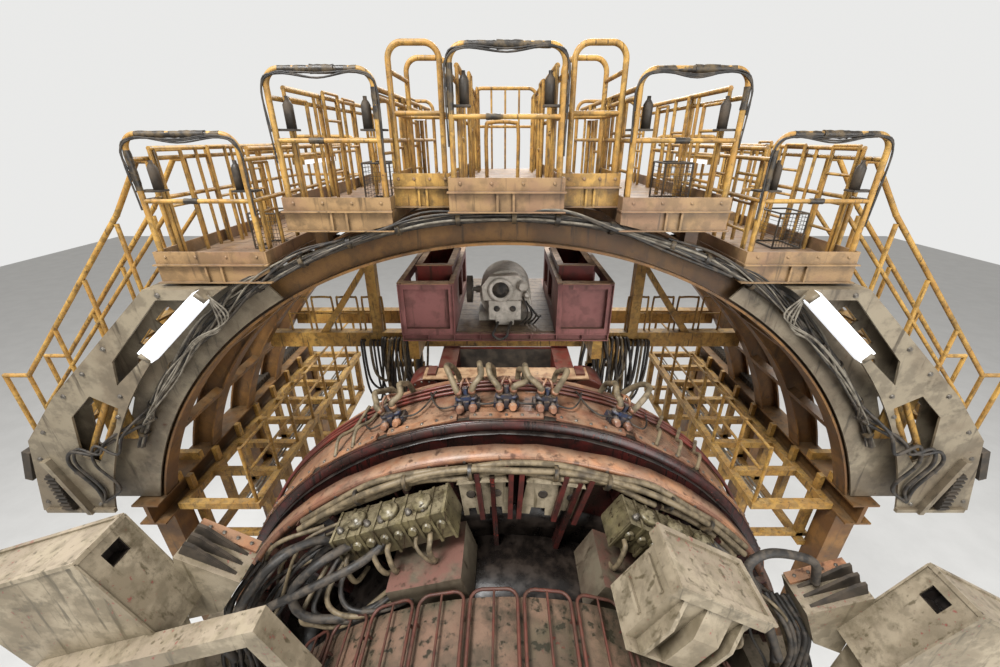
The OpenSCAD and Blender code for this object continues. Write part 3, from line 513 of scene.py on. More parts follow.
def inner_frames():
    """Gates, uprights and long top rails that stand behind the front hoops."""
    rng = random.Random(8)
    frames = Piece("inner_frames", "gantry", YELLOW)
    bins = Piece("mesh_bins", "gantry", DARK)
    for name, x0, x1, floor, top, middle, front, back in deck_spans(steps=False):
        for x, inward in ((x0 + RAIL_INSET, 1), (x1 - RAIL_INSET, -1)):
            for k in range(4):
                y = front + 0.35 + 0.85 * k
                off = x + inward * (0.06 + 0.05 * (k % 2))
                ladder_frame(frames, off, y, y + rng.uniform(0.3, 0.5), floor, top - rng.uniform(0.08, 0.3),
                             rng.randint(2, 4))
            rail, high = x + inward * 0.05, top - 0.14
            frames.rod((rail, front + 0.3, high), (rail, back - 0.2, high), 0.028)
            for k in range(5):
                y = front + 0.3 + 0.75 * k
                frames.rod((rail, y, floor), (rail, y, high), 0.02)
        left, right = x0 + 0.3 * (x1 - x0), x0 + 0.62 * (x1 - x0)
        y = front + 1.1
        frames.tube([(left, y, floor + 0.05), (left, y, floor + 0.62), (left + 0.06, y, floor + 0.7),
                     (right - 0.06, y, floor + 0.7), (right, y, floor + 0.62), (right, y, floor + 0.05)], 0.024)
        if name != "centre":
            wide = (x0 + 0.58 * (x1 - x0), x0 + 0.86 * (x1 - x0))
            mesh_bin(bins, wide[0], wide[1], front + 0.75, front + 1.2, floor + 0.004, floor + 0.45)
        for k in range(3):
            x = x0 + (0.3 + 0.2 * k) * (x1 - x0)
            frames.rod((x, back - RAIL_INSET, floor), (x, back - RAIL_INSET, top - 0.02), 0.018)
    make_all(frames, bins)


def mesh_bin(piece, x0, x1, y0, y1, z0, z1):
    """Open crate of bars and thin wire."""
    bar = 0.012
    for x in (x0, x1):
        for y in (y0, y1):
            piece.rod((x, y, z0), (x, y, z1), bar, 6)
    for z in (z0 + bar, z1):
        for a, b in (((x0, y0), (x1, y0)), ((x1, y0), (x1, y1)), ((x1, y1), (x0, y1)), ((x0, y1), (x0, y0))):
            piece.rod((*a, z), (*b, z), bar, 6)
    wires = 9
    for i in range(1, wires):
        x = x0 + (x1 - x0) * i / wires
        z = z0 + (z1 - z0) * i / wires
        piece.rod((x, y0, z0), (x, y0, z1), 0.003, 4)
        piece.rod((x0, y0, z), (x1, y0, z), 0.003, 4)
        piece.rod((x0, y0, z), (x0, y1, z), 0.003, 4)
        piece.rod((x1, y0, z), (x1, y1, z), 0.003, 4)


def post_holders():
    """Dark cylinders on small trays, clamped to the hoops' posts."""
    dark = Piece("post_holders", "gantry", DARK)
    for name, x0, x1, floor, top, middle, front, back in deck_spans(steps=False):
        for x, inward in ((x0 + RAIL_INSET, 1), (x1 - RAIL_INSET, -1)):
            at = (x + inward * 0.13, front + 0.16)
            left, right = sorted((x, at[0]))
            dark.block((left - 0.06, at[1] - 0.09, middle + 0.09), (right + 0.06, at[1] + 0.07, middle + 0.11))
            dark.lathe((*at, middle + 0.11), (0, 0, 1),
                       [(0, 0.05), (0.22, 0.05), (0.25, 0.035), (0.27, 0.02), (0.3, 0.02)])
            dark.rod((x, front + RAIL_INSET, middle + 0.1), (*at, middle + 0.1), 0.012)
    dark.done()


def deck_lamp_covers():
    """Housings and brackets over the lit tubes."""
    cover = Piece("deck_lamp_covers", "gantry", YELLOW)
    for name, x0, x1, floor, top, middle, front, back in deck_spans(steps=False):
        if name == "centre":
            continue
        x = x0 + RAIL_INSET if x0 > 0 else x1 - RAIL_INSET
        z = top - HOOP_BEND - 0.09 - RAIL_R * 0.8
        cover.block((x - 0.078, 0.04, z - 0.035), (x + 0.078, 1.21, z + 0.004))
        for y in (0.035, 1.2):
            cover.block((x - 0.08, y, z - 0.095), (x + 0.08, y + 0.015, z + 0.004))
    cover.done()


# Arch and side brackets


def arch_cables():
    """Bundle of cables along the front arch, with straps, and strands that leave it at both ends."""
    rng = random.Random(5)
    bundle = Piece("arch_cables", "gantry", BLACK_HOSE)
    pale = Piece("arch_pale_cables", "gantry", GREY_CABLE)
    centre = ARCH_R - 0.02
    depth = ARCH_FRONT - 0.09
    strands = 13
    for i in range(strands):
        phase = rng.uniform(0, 2 * math.pi)
        spread = rng.uniform(0.015, 0.05)
        route = []
        for k in range(43):
            a = -63 + 3 * k
            turn = phase + k * rng.uniform(0.02, 0.05)
            route.append(polar(centre + spread * math.cos(turn) + rng.uniform(-0.006, 0.006), a,
                               depth + spread * math.sin(turn)))
        (bundle if i % 5 else pale).tube(route, rng.uniform(0.013, 0.021), 7, steps=2)
    strap = Piece("cable_straps", "gantry", TAPE)
    for k in range(21):
        a = -60 + 6 * k + rng.uniform(-1, 1)
        strap.tube([polar(centre, a - 0.25, depth), polar(centre, a + 0.25, depth)], 0.073, 14, steps=0)
    loose = [(-44, 0.05), (-38, 0.1), (-30, 0.09), (30, 0.06), (36, 0.1), (41, 0.08), (-15, 0.07), (12, 0.07)]
    for start, rise in loose:
        side = 1 if start > 0 else -1
        for k in range(3):
            route = [polar(centre + 0.06, start - side * 12, depth - 0.03),
                     polar(centre + 0.06 + rise * rng.uniform(0.3, 1), start - side * 6, depth - 0.06),
                     polar(centre + 0.02 + rise * rng.uniform(-0.5, 1), start, depth - 0.07),
                     polar(centre - rise * rng.uniform(0, 1.2), start + side * 7, depth - 0.05),
                     polar(centre - 0.04, start + side * 15, depth - 0.04)]
            (pale if k == 1 else bundle).tube(route, rng.uniform(0.009, 0.016), 7)
    make_all(pale, strap)
    made = bundle.done()
    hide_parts("cable_bundle")


def bracket_details():
    """Bolts, gussets, pipes and lamp housings on the side brackets."""
    rng = random.Random(17)
    bolts = Piece("bracket_bolts", "gantry", STEEL)
    plates = Piece("bracket_gussets", "gantry", CREAM)
    covers = Piece("side_lamp_covers", "gantry", CREAM)
    cables = Piece("bracket_cables", "gantry", GREY_CABLE)
    black = Piece("bracket_black_cables", "gantry", BLACK_HOSE)
    rods = Piece("bracket_rods", "gantry", YELLOW)
    ribbed = Piece("bracket_ribbed_bars", "gantry", DARK)
    for side in (-1, 1):
        flip = Matrix.Scale(side, 4, (1, 0, 0))
        y = BRACKET_FRONT
        for x, z in ((3.5, 4.99), (4.0, 4.99), (4.9, 4.3), (5.3, 3.95), (5.68, 3.62), (6.2, 3.05),
                     (6.45, 2.6), (6.7, 1.8), (5.95, 1.75), (6.05, 2.35), (4.95, 3.62), (5.1, 3.3)):
            bolts.bolt((side * x, y, z), (0, -1, 0), 0.022)
        for k in range(2):
            rods.rod((side * (4.98 + 0.13 * k), y + 0.12, 3.66 + 0.08 * k),
                     (side * (5.72 + 0.13 * k), y + 0.12, 2.5 + 0.08 * k), 0.042)
        rods.block((side * 5.2, y + 0.24, 2.75), (side * 5.6, y + 0.27, 3.5))
        ribbed.block((side * 6.3, y - 0.08, 1.7), (side * 6.42, y, 2.36))
        for k in range(9):
            z = 1.74 + 0.07 * k
            ribbed.block((side * 6.29, y - 0.1, z), (side * 6.43, y - 0.07, z + 0.03))
        plates.plate([(6.05, 1.62), (6.12, 1.62), (6.38, 2.6), (6.3, 2.6)], y - 0.09, y, flip)
        plates.block((side * 5.75, y - 0.05, 1.62), (side * 6.75, y, 1.68))
        for x, z in ((3.44, 5.005), (4.335, 4.235)):
            covers.lathe((side * x, y - 0.055, z), (side * 0.76, 0, -0.65), [(-0.03, 0.095), (0.03, 0.095)], 4)
        for k in range(4):
            route = [(side * 3.4, y - 0.03, 5.0), (side * (3.2 + 0.05 * k), y - 0.08, 4.75 - 0.05 * k),
                     (side * (3.6 + rng.uniform(-0.05, 0.1)), y - 0.1, 4.45),
                     (side * (4.1 + rng.uniform(-0.05, 0.1)), y - 0.09, 4.0 - 0.03 * k),
                     (side * (4.5 + 0.08 * k), y - 0.05, 3.55 - 0.1 * k), (side * 4.85, ARCH_FRONT - 0.1, 3.1)]
            cables.tube(route, 0.011, 7)
        for k in range(3):
            at = 5.3 + 0.16 * k + rng.uniform(-0.06, 0.06)
            route = [(side * 4.8, ARCH_FRONT - 0.1, 3.35 - 0.1 * k),
                     (side * (at - 0.15), y - 0.04, 3.05 - 0.1 * k), (side * at, y - 0.09, 2.75),
                     (side * (at + 0.25), y - 0.1, 2.9 - 0.05 * k), (side * (at + 0.4), y - 0.07, 2.55),
                     (side * (at + 0.25), y - 0.04, 2.1), (side * 5.85, y - 0.02, 1.8)]
            black.tube(route, rng.choice((0.013, 0.018, 0.024)), 7)
    make_all(bolts, plates, covers, cables, black, rods, ribbed)


# Cradle and cross frame


def cradle_details():
    """Frames, rims, bolts and inner boxes, floor planks, and hoses and fittings on the motor."""
    faces = Piece("cradle_face_frames", "cradle", ROSE)
    bolts = Piece("cradle_bolts", "cradle", STEEL)
    lines = Piece("motor_lines", "cradle", BLACK_HOSE)
    planks = Piece("cradle_planks", "cradle", PLANK)
    # The motor's fittings take the off-white paint that carries painted light against the shade under the decks
    pump = Piece("motor_fittings", "cradle", OFF_WHITE_WITH_PAINTED_LIGHT)
    rims = Piece("cradle_rims", "cradle", RIM)
    inner = Piece("cradle_inner_boxes", "cradle", OXIDE)
    for name in ("cradle_box_left", "cradle_box_right"):
        low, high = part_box(name)
        x0, x1, y, z0, z1 = low.x, high.x, low.y, low.z - AXIS_H, high.z - AXIS_H
        for a, b, c, d in ((x0, x1, z1 - 0.09, z1), (x0, x1, z0, z0 + 0.09),
                           (x0, x0 + 0.08, z0 + 0.09, z1 - 0.09), (x1 - 0.08, x1, z0 + 0.09, z1 - 0.09)):
            faces.block((a, y - 0.05, c), (b, y + 0.002, d))
        for a in (x0, x1 - 0.012):
            faces.block((a, y - 0.085, z0), (a + 0.012, y - 0.05, z1 - 0.012))
        faces.block((x0, y - 0.085, z1 - 0.012), (x1, y - 0.05, z1))
        for x in (x0 - 0.01, x1 - 0.07):
            rims.block((x, y - 0.05, z1), (x + 0.08, high.y, z1 + 0.014))
        rims.block((x0 + 0.07, y - 0.085, z1), (x1 - 0.07, y + 0.06, z1 + 0.014))
        rims.block((x0 + 0.07, high.y - 0.08, z1), (x1 - 0.07, high.y, z1 + 0.014))
        near, far = (x0 + 0.055, x0 + 0.62) if x0 > 0 else (x1 - 0.62, x1 - 0.055)
        tall = z1 + 0.16
        for a, b in ((near, near + 0.02), (far - 0.02, far)):
            inner.block((a, y + 0.4, z0 + 0.06), (b, y + 1.8, tall))
        for at in (y + 0.4, y + 1.78):
            inner.block((near + 0.02, at, z0 + 0.06), (far - 0.02, at + 0.02, tall))
        for a, b in ((near - 0.02, near + 0.08), (far - 0.08, far + 0.02)):
            rims.block((a, y + 0.38, tall), (b, y + 1.82, tall + 0.014))
        for at in (y + 0.38, y + 1.72):
            rims.block((near + 0.08, at, tall), (far - 0.08, at + 0.1, tall + 0.014))
        for i in range(5):
            x = x0 + 0.06 + (x1 - x0 - 0.12) * i / 4
            for z in (z0 + 0.025, z1 - 0.02):
                bolts.bolt((x, y - 0.02, z), (0, -1, 0), 0.013)
    low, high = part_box("hydraulic_motor")
    radius = 0.42
    centre = high.z - AXIS_H - radius
    front = low.y
    face = front + 0.12
    for k in range(12):
        a = 2 * math.pi * (k + 0.5) / 12
        bolts.bolt((0.34 * math.cos(a), face, centre + 0.34 * math.sin(a)), (0, -1, 0), 0.02)
    housing = [(-0.36, -0.04), (-0.38, 0.2), (-0.26, 0.36), (0.2, 0.38), (0.34, 0.24), (0.34, -0.04)]
    pump.plate([(x, centre + z) for x, z in housing], front - 0.03, face)
    pump.block((-0.27, front - 0.06, centre - 0.36), (0.25, face, centre - 0.04))
    pump.block((-0.16, front - 0.04, centre - 0.46), (0.14, face + 0.1, centre - 0.36))
    bore = (-0.08, front - 0.03, centre + 0.14)
    pump.lathe(bore, (0, -1, 0), [(0, 0.2), (0.03, 0.2), (0.035, 0.14), (0.008, 0.135)], 28)
    lines.lathe(bore, (0, -1, 0), [(0.008, 0.132), (0.012, 0.132), (0.012, 0.07), (0.03, 0.065)], 24)
    for x in (-0.14, 0.12):
        lines.lathe((x, front - 0.06, centre - 0.17), (0, -1, 0),
                    [(0, 0.05), (0.012, 0.05), (0.014, 0.035)], 16)
    pump.lathe((0.27, face, centre + 0.22), (0, -1, 0),
               [(0, 0.09), (0.2, 0.09), (0.22, 0.06), (0.26, 0.055)], 16)
    pump.lathe((0.36, face, centre - 0.08), (0, -1, 0), [(0, 0.07), (0.1, 0.07), (0.12, 0.04)], 16)
    pump.lathe((0.34, front, centre + 0.05), (0, -1, 0.3),
               [(0, 0.06), (0.08, 0.06), (0.1, 0.035), (0.14, 0.035)], 12)
    for k in range(4):
        x = 0.2 + 0.07 * k
        lines.tube([(x, face, centre + 0.1 - 0.1 * k), (x + 0.12, front - 0.1, centre - 0.05 - 0.08 * k),
                    (x + 0.16, front - 0.06, centre - 0.3), (x + 0.05, front, centre - 0.47)], 0.016)
    lines.tube([(-0.12, front - 0.03, centre - 0.42), (-0.17, 0.05, centre - 0.43),
                (-0.2, -0.03, centre - 0.48), (-0.09, -0.05, centre - 0.55), (0.02, -0.04, centre - 0.49),
                (0.04, 0.04, centre - 0.43), (0.1, front - 0.03, centre - 0.42)], 0.022)
    low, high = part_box("cradle_frame")
    bottom, top = low.z - AXIS_H, high.z - AXIS_H
    for k in range(12):
        y = low.y + 0.02 + 0.235 * k
        planks.block((-0.79, y, top), (0.79, y + 0.228, top + 0.02))
    for z in (bottom, top - 0.015):
        faces.block((low.x, low.y - 0.06, z), (high.x, low.y, z + 0.015))
    for k in range(9):
        x = low.x + (high.x - low.x - 0.012) * k / 8
        faces.block((x, low.y - 0.05, bottom), (x + 0.012, low.y, top))
    make_all(faces, bolts, lines, planks, pump, rims, inner)


def cross_frame_details():
    """Small gates, pipe stacks and hoses that hang behind the erector."""
    rng = random.Random(23)
    gates = Piece("cross_gates", "gantry", YELLOW)
    pipes = Piece("pipe_stacks", "gantry", YELLOW)
    hoses = Piece("hanging_hoses", "gantry", BLACK_HOSE)
    pale = Piece("hanging_pale_hoses", "gantry", TAN_HOSE)
    z0 = 3.2
    for side in (-1, 1):
        for k in range(4):
            x = side * (2.55 + 0.48 * k)
            gates.tube([(x - 0.19, 1.5, z0), (x - 0.19, 1.5, z0 + 0.62), (x - 0.14, 1.5, z0 + 0.68),
                        (x + 0.14, 1.5, z0 + 0.68), (x + 0.19, 1.5, z0 + 0.62), (x + 0.19, 1.5, z0)], 0.02)
            gates.rod((x - 0.19, 1.5, z0 + 0.35), (x + 0.19, 1.5, z0 + 0.35), 0.016)
        for k in range(7):
            x = side * (1.75 + 0.085 * k)
            bottom = 1.6 + rng.uniform(0, 0.5)
            pipes.tube([(x, CROSS_Y + 0.01, 3.1), (x, 1.22, 3.05), (x, 1.12, 2.8), (x, 1.12, bottom),
                        (x, 1.16, bottom - 0.06), (x, CROSS_Y - 0.05, bottom - 0.07)], 0.026)
        for k in range(12):
            x = side * (1.5 + 0.08 * k + rng.uniform(-0.03, 0.03))
            drop = rng.uniform(0.7, 1.3)
            target = hoses if k % 3 else pale
            target.tube([(x, CROSS_Y + 0.01, 3.1), (x, 1.2, 3.08),
                         (x + rng.uniform(-0.1, 0.1), 1.02, 3.1 - drop * 0.5),
                         (x + side * 0.08, 0.95, 3.1 - drop), (x + side * 0.3, 1.0, 3.1 - drop * 0.8),
                         (x + side * 0.4, 1.2, 3.0), (x + side * 0.42, CROSS_Y + 0.01, 3.04)],
                        rng.uniform(0.018, 0.034))
        for z in (1.75, 2.5):
            gates.block((side * 2.0 - 0.4, CROSS_Y - 0.1, z), (side * 2.0 + 0.4, CROSS_Y - 0.02, z + 0.08))
        for x in (side * 1.68, side * 2.32):
            gates.block((x - 0.05, CROSS_Y - 0.1, 1.55), (x + 0.05, CROSS_Y, 3.1))
    make_all(gates, pipes, hoses, pale)


def walkway_details():
    """Upright frames and pipes along both walkways, and the cable chain on each side beam."""
    rng = random.Random(29)
    steel = Piece("walkway_pipes", "gantry", GREY_CABLE)
    frames = Piece("walkway_uprights", "gantry", YELLOW)
    chain = Piece("cable_chains", "gantry", DARK)
    for side in (-1, 1):
        low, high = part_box("walkway_right" if side > 0 else "walkway_left")
        inner, outer = sorted((abs(low.x), abs(high.x)))
        z = low.z - AXIS_H
        for k in range(5):
            x = side * (inner + 0.1 + 0.07 * k)
            steel.tube([(x, low.y + 0.1, z - 0.03), (x + rng.uniform(-0.02, 0.02), 1.0, z - 0.05),
                        (x, high.y - 0.1, z - 0.03)], 0.018)
        for k in range(8):
            y = low.y + 0.3 + 0.68 * k
            frames.block((side * outer, y, z + 0.12), (side * (outer - 0.08), y + 0.1, z + 0.4))
            frames.block((side * (inner + 0.02), y, z - 0.9), (side * (inner + 0.14), y + 0.12, z))
            frames.block((side * inner, y, z - 0.98), (side * (outer + 0.1), y + 0.12, z - 0.9))
            frames.block((side * (outer - 0.1), y, z - 0.98), (side * (outer + 0.02), y + 0.12, z))
        for x in (inner + 0.02, outer - 0.1):
            frames.block((side * x, low.y + 0.2, z - 1.08), (side * (x + 0.12), high.y - 0.1, z - 0.98))
        x = side * (outer + 0.28)
        for k in range(26):
            y = 1.6 + 0.1 * k
            chain.block((x - 0.09, y, 1.6), (x + 0.09, y + 0.075, 1.72))
            chain.rod((x - 0.09, y + 0.037, 1.73), (x + 0.09, y + 0.037, 1.73), 0.012, 6)
    make_all(steel, frames, chain)


# Carriage


def sleeve(piece, r0, r1, y0, y1, step=4):
    """Ring of plate about the axis: radii, depths and the degrees of one step."""
    count = 360 // step
    loops = []
    for k in range(count + 1):
        a = -180 + 360 * k / count
        loops.append([polar(r0, a, y0), polar(r0, a, y1), polar(r1, a, y1), polar(r1, a, y0)])
    band_of(piece, loops)


def ragged(piece, r0, r1, y0, way, reach, spread, rng):
    """Smear round the axis: its edge at y0 is straight, and the other one wanders."""
    count = 300
    phases = [rng.uniform(0, 2 * math.pi) for _ in range(5)]
    loops = []
    for k in range(count + 1):
        a = -180 + 360 * k / count
        wander = sum(math.sin(math.radians(a) * (7 + 11 * i) + phase) / (1 + 0.4 * i)
                     for i, phase in enumerate(phases))
        y1 = y0 + way * (reach + spread * (wander / 3 + rng.uniform(-0.12, 0.12)) * 0.5)
        near, far = sorted((y0, y1))
        loops.append([polar(r0, a, near), polar(r0, a, far), polar(r1, a, far), polar(r1, a, near)])
    loops[-1] = loops[0]
    band_of(piece, loops)


def band_of(piece, loops):
    """Joins loops of four points into a band round the axis."""
    points = [point for loop in loops for point in loop]
    faces = []
    for b in range(0, len(points) - 4, 4):
        for i in range(4):
            n = (i + 1) % 4
            faces.append((b + i, b + 4 + i, b + 4 + n, b + n))
    piece.shell(points, faces, None, True)


def on_rim(radius, degrees, y):
    """Turn that puts a shape's Z away from the axis, at an angle clockwise from the top."""
    return Matrix.Rotation(math.radians(degrees), 4, "Y") @ Matrix.Translation((0, y, radius))


def valve_details():
    """On each valve set: bolted block, fittings, and two thick hoses that rise and bend to the rear."""
    rng = random.Random(31)
    blue = Piece("valve_bodies", "carriage", BLUE)
    brass = Piece("valve_fittings", "carriage", SALMON)
    hoses = Piece("valve_hoses", "carriage", TAN_HOSE)
    thin = Piece("valve_lines", "carriage", BLACK_HOSE)
    for a in (-21, -7, 0, 7, 21):
        turn = on_rim(BEARING_R, a, BEARING_FRONT + 0.33)
        for x in (-0.075, 0.075):
            blue.lathe((x, 0, 0.06), (0, 0, 1), [(0, 0.045), (0.05, 0.045), (0.055, 0.06), (0.08, 0.06),
                                                 (0.085, 0.04), (0.12, 0.04)], 12, turn)
            blue.lathe((x, -0.05, 0.08), (0, -1, 0), [(0, 0.035), (0.06, 0.035), (0.065, 0.022), (0.1, 0.022)],
                       6, turn)
            brass.lathe((x, -0.02, 0.16), (0, 0, 1), [(0, 0.03), (0.04, 0.036), (0.05, 0.036), (0.06, 0.03)],
                        10, turn)
        blue.block((-0.15, -0.06, 0.0), (0.15, 0.09, 0.07), turn)
        blue.block((-0.03, -0.1, 0.02), (0.03, 0.0, 0.12), turn)
        for side in (-1, 1):
            wide = rng.uniform(0.12, 0.24)
            rise = rng.uniform(0.34, 0.5)
            lean = rng.uniform(-0.05, 0.05)
            hoses.tube([(side * 0.075, -0.02, 0.18), (side * 0.1, -0.03, 0.28),
                        (side * wide, 0.06, rise - 0.06), (side * (wide + 0.02) + lean, 0.2, rise),
                        (side * wide + lean, 0.38, rise - 0.1), (side * (wide - 0.03) + lean, 0.54, 0.16),
                        (side * (wide - 0.04) + lean, 0.58, -0.04)], 0.036, 10, turn)
            brass.lathe((side * 0.075, -0.09, 0.05), (0, -1, 0.25),
                        [(0, 0.05), (0.06, 0.05), (0.065, 0.035), (0.1, 0.035)], 12, turn)
            brass.lathe((side * 0.075, -0.02, 0.2), (side * 0.25, -0.1, 0.95), [(0, 0.045), (0.05, 0.045)],
                        10, turn)
            thin.tube([(side * 0.12, -0.04, 0.06), (side * 0.3, -0.06, 0.05), (side * 0.42, 0.1, 0.04),
                       (side * 0.5, 0.35, 0.03)], 0.011, 6, turn)
            brass.tube([(side * 0.04, 0.02, 0.08), (side * 0.06, 0.04, 0.24), (side * 0.02, 0.12, 0.3),
                        (side * 0.03, 0.3, 0.2)], 0.017, 8, turn)
    make_all(blue, brass, hoses, thin)


def bearing_details():
    """Raised pads, bolt rows, seams and pipes on the big ring that carries the erector."""
    rng = random.Random(37)
    pads = Piece("bearing_pads", "carriage", SALMON)
    bolts = Piece("bearing_bolts", "carriage", STEEL)
    pipes = Piece("bearing_pipes", "carriage", OXIDE)
    lines = Piece("bearing_lines", "carriage", TAN_HOSE)
    grime = Piece("bearing_edge_grime", "carriage", GRIME)
    mud = Piece("bearing_edge_mud", "carriage", DARK)
    for k in range(24):
        a = 15 * k
        turn = on_rim(BEARING_R, a, BEARING_FRONT)
        pads.block((-0.42, 0.05, -0.01), (0.42, 0.16, 0.016), turn)
        for x in (-0.36, -0.18, 0, 0.18, 0.36):
            bolts.bolt((turn @ Vector((x, 0.1, 0.016))), turn.to_3x3() @ Vector((0, 0, 1)), 0.014)
    for row in range(3):
        y = BEARING_FRONT + 0.62 + 0.09 * row
        route = [polar(BEARING_R + 0.035 + rng.uniform(0, 0.01), -62 + 4 * k, y) for k in range(32)]
        pipes.tube(route, 0.022, 8, steps=2)
    for a in (-33, -29, 28, 33, 38):
        base = polar(BEARING_R + 0.02, a, BEARING_FRONT + 0.1)
        lines.tube([base, polar(BEARING_R + 0.12, a + 1, BEARING_FRONT + 0.3),
                    polar(BEARING_R + 0.05, a + 2.5, -1.7), polar(BEARING_R + 0.1, a + 5, -1.4)], 0.022)
    ragged(grime, BEARING_R + 0.001, BEARING_R + 0.007, BEARING_FRONT, 1, 0.05, 0.07, rng)
    ragged(mud, BEARING_R + 0.001, BEARING_R + 0.004, BEARING_FRONT, 1, 0.12, 0.1, rng)
    sleeve(grime, BEARING_R - 0.2, BEARING_R + 0.001, BEARING_FRONT - 0.008, BEARING_FRONT, step=3)
    make_all(pads, bolts, pipes, lines, grime, mud)


def portal_details():
    """Covers, bolt rings and hoses of the red drives, and ribs on the portal beam."""
    red = Piece("drive_covers", "carriage", OXIDE)
    bolts = Piece("drive_bolts", "carriage", STEEL)
    hoses = Piece("drive_hoses", "carriage", BLACK_HOSE)
    ledge = Piece("portal_ledge", "carriage", RIM)
    dark = Piece("portal_screen", "carriage", DARK)
    low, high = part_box("red_portal")
    top = high.z - AXIS_H
    for k in range(7):
        x = low.x + 0.15 + (high.x - low.x - 0.3) * k / 6
        red.block((x - 0.012, low.y - 0.03, top - 0.3), (x + 0.012, low.y, top - 0.02))
    ledge.block((low.x, low.y - 0.06, top), (high.x, high.y, top + 0.02))
    for side in (-1, 1):
        for a, b in ((0.98, 1.1), (0.72, 0.8)):
            red.block((side * a, low.y + 0.02, top + 0.02), (side * b, high.y, top + 0.05))
        red.block((side * 0.72, high.y - 0.01, 3.3), (side * 0.98, -0.05, 3.62))
        middle = (side * 1.12, high.y + 0.1, 3.32)
        depth = high.y + 0.1 - (low.y - 0.02)
        red.lathe(middle, (0, -1, 0), [(0, 0.28), (depth, 0.28), (depth + 0.012, 0.265)], 36)
        for k in range(14):
            a = 2 * math.pi * k / 14
            bolts.bolt((middle[0] + 0.235 * math.cos(a), low.y - 0.032, middle[2] + 0.235 * math.sin(a)),
                       (0, -1, 0), 0.011)
        red.plate([(side * 0.86, 2.85), (side * 0.86, 3.3), (side * 1.4, 3.3), (side * 1.4, 3.12),
                   (side * 1.25, 2.82)], high.y - 0.12, high.y + 0.02)
    drum = (-1.26, low.y - 0.02, 3.16)
    red.lathe(drum, (0, -1, 0), [(0, 0.21), (0.2, 0.21), (0.22, 0.195), (0.22, 0.07), (0.25, 0.06)], 32)
    red.plate([(0.84, 3.3), (1.0, 3.57), (1.14, 3.6), (1.3, 3.52), (1.39, 3.36), (1.3, 3.08)],
              low.y - 0.06, low.y - 0.02)
    for side in (-1, 1):
        for k in range(4):
            x = side * (0.95 + 0.12 * k)
            hoses.tube([(x, low.y - 0.02, 3.12 - 0.03 * k), (x + side * 0.05, low.y - 0.25, 3.06),
                        (x + side * 0.12, low.y - 0.3, 2.9), (x + side * 0.05, low.y - 0.1, 2.78),
                        (x, low.y + 0.1, 2.8)], 0.022)
    red.block((-0.98, -0.12, 3.42), (0.98, -0.08, 3.62))
    dark.block((-0.98, -0.14, 2.8), (0.98, -0.12, 3.6))
    make_all(ledge, dark, red, bolts, hoses)


# Erector


def ring_details():
    """Grease in the ring's channel and behind the drum, its bare front flange, bolts, plates and ribs."""
    rng = random.Random(41)
    grease = Piece("ring_grease", "erector", GREASE, AT_PARK)
    rim = Piece("ring_bare_flange", "erector", SALMON, AT_PARK)
    red = Piece("ring_red_ribs", "erector", DEEP_RED, AT_PARK)
    pale = Piece("ring_bracket_plates", "erector", PALE, AT_PARK)
    bolts = Piece("ring_bolts", "erector", DARK, AT_PARK)
    sleeve(grease, 3.415, 3.43, RING_FRONT + 0.055, RING_FRONT + 0.355)
    sleeve(grease, 2.5, 2.515, DRUM_BACK + 0.005, RING_FRONT)
    sleeve(grease, 2.52, 2.98, RING_FRONT - 0.012, RING_FRONT - 0.002)
    ragged(grease, RING_R + 0.001, RING_R + 0.006, RING_FRONT + 0.41, -1, 0.06, 0.05, rng)
    ragged(rim, RING_R + 0.001, RING_R + 0.005, RING_FRONT - 0.012, 1, 0.2, 0.05, rng)
    sleeve(rim, RING_R - 0.09, RING_R + 0.001, RING_FRONT - 0.012, RING_FRONT - 0.001, step=2)
    for k in range(60):
        bolts.bolt(polar(RING_R - 0.045, 6 * k, RING_FRONT - 0.012), (0, -1, 0), 0.013)
    for a, wide in ((-12.0, 0.2), (-7.2, 0.31), (1.4, 0.37), (6.9, 0.22)):
        turn = on_rim(3.0, a, RING_FRONT - 0.06)
        half = wide / 2
        pale.plate([(-half, -0.06), (-half * 0.45, -0.06), (-half * 0.4, 0.04), (half * 0.4, 0.04),
                    (half * 0.45, -0.06), (half, -0.06), (half * 0.9, 0.44), (-half * 0.9, 0.44)],
                   -0.03, 0.0, turn)
        pale.plate([(-half, 0.44), (half, 0.44), (half * 0.8, 0.48), (-half * 0.8, 0.48)], -0.09, 0.04, turn)
        bolts.lathe(turn @ Vector((0.02, -0.032, 0.24)), (0, -1, 0),
                    [(0, 0.05), (0.006, 0.05), (0.006, 0.035)], 16)
    for a in (-10.0, -4.3, -2.5, 4.9, 9.3):
        turn = on_rim(3.0, a, RING_FRONT - 0.1)
        red.block((-0.026, -0.05, -0.08), (0.026, 0.1, 0.56), turn)
    for k in range(36):
        turn = on_rim(RING_R, 10 * k + 5, RING_FRONT)
        red.block((-0.012, -0.09, -0.33), (0.012, 0.0, -0.05), turn)
    make_all(grease, red, pale, bolts, rim)


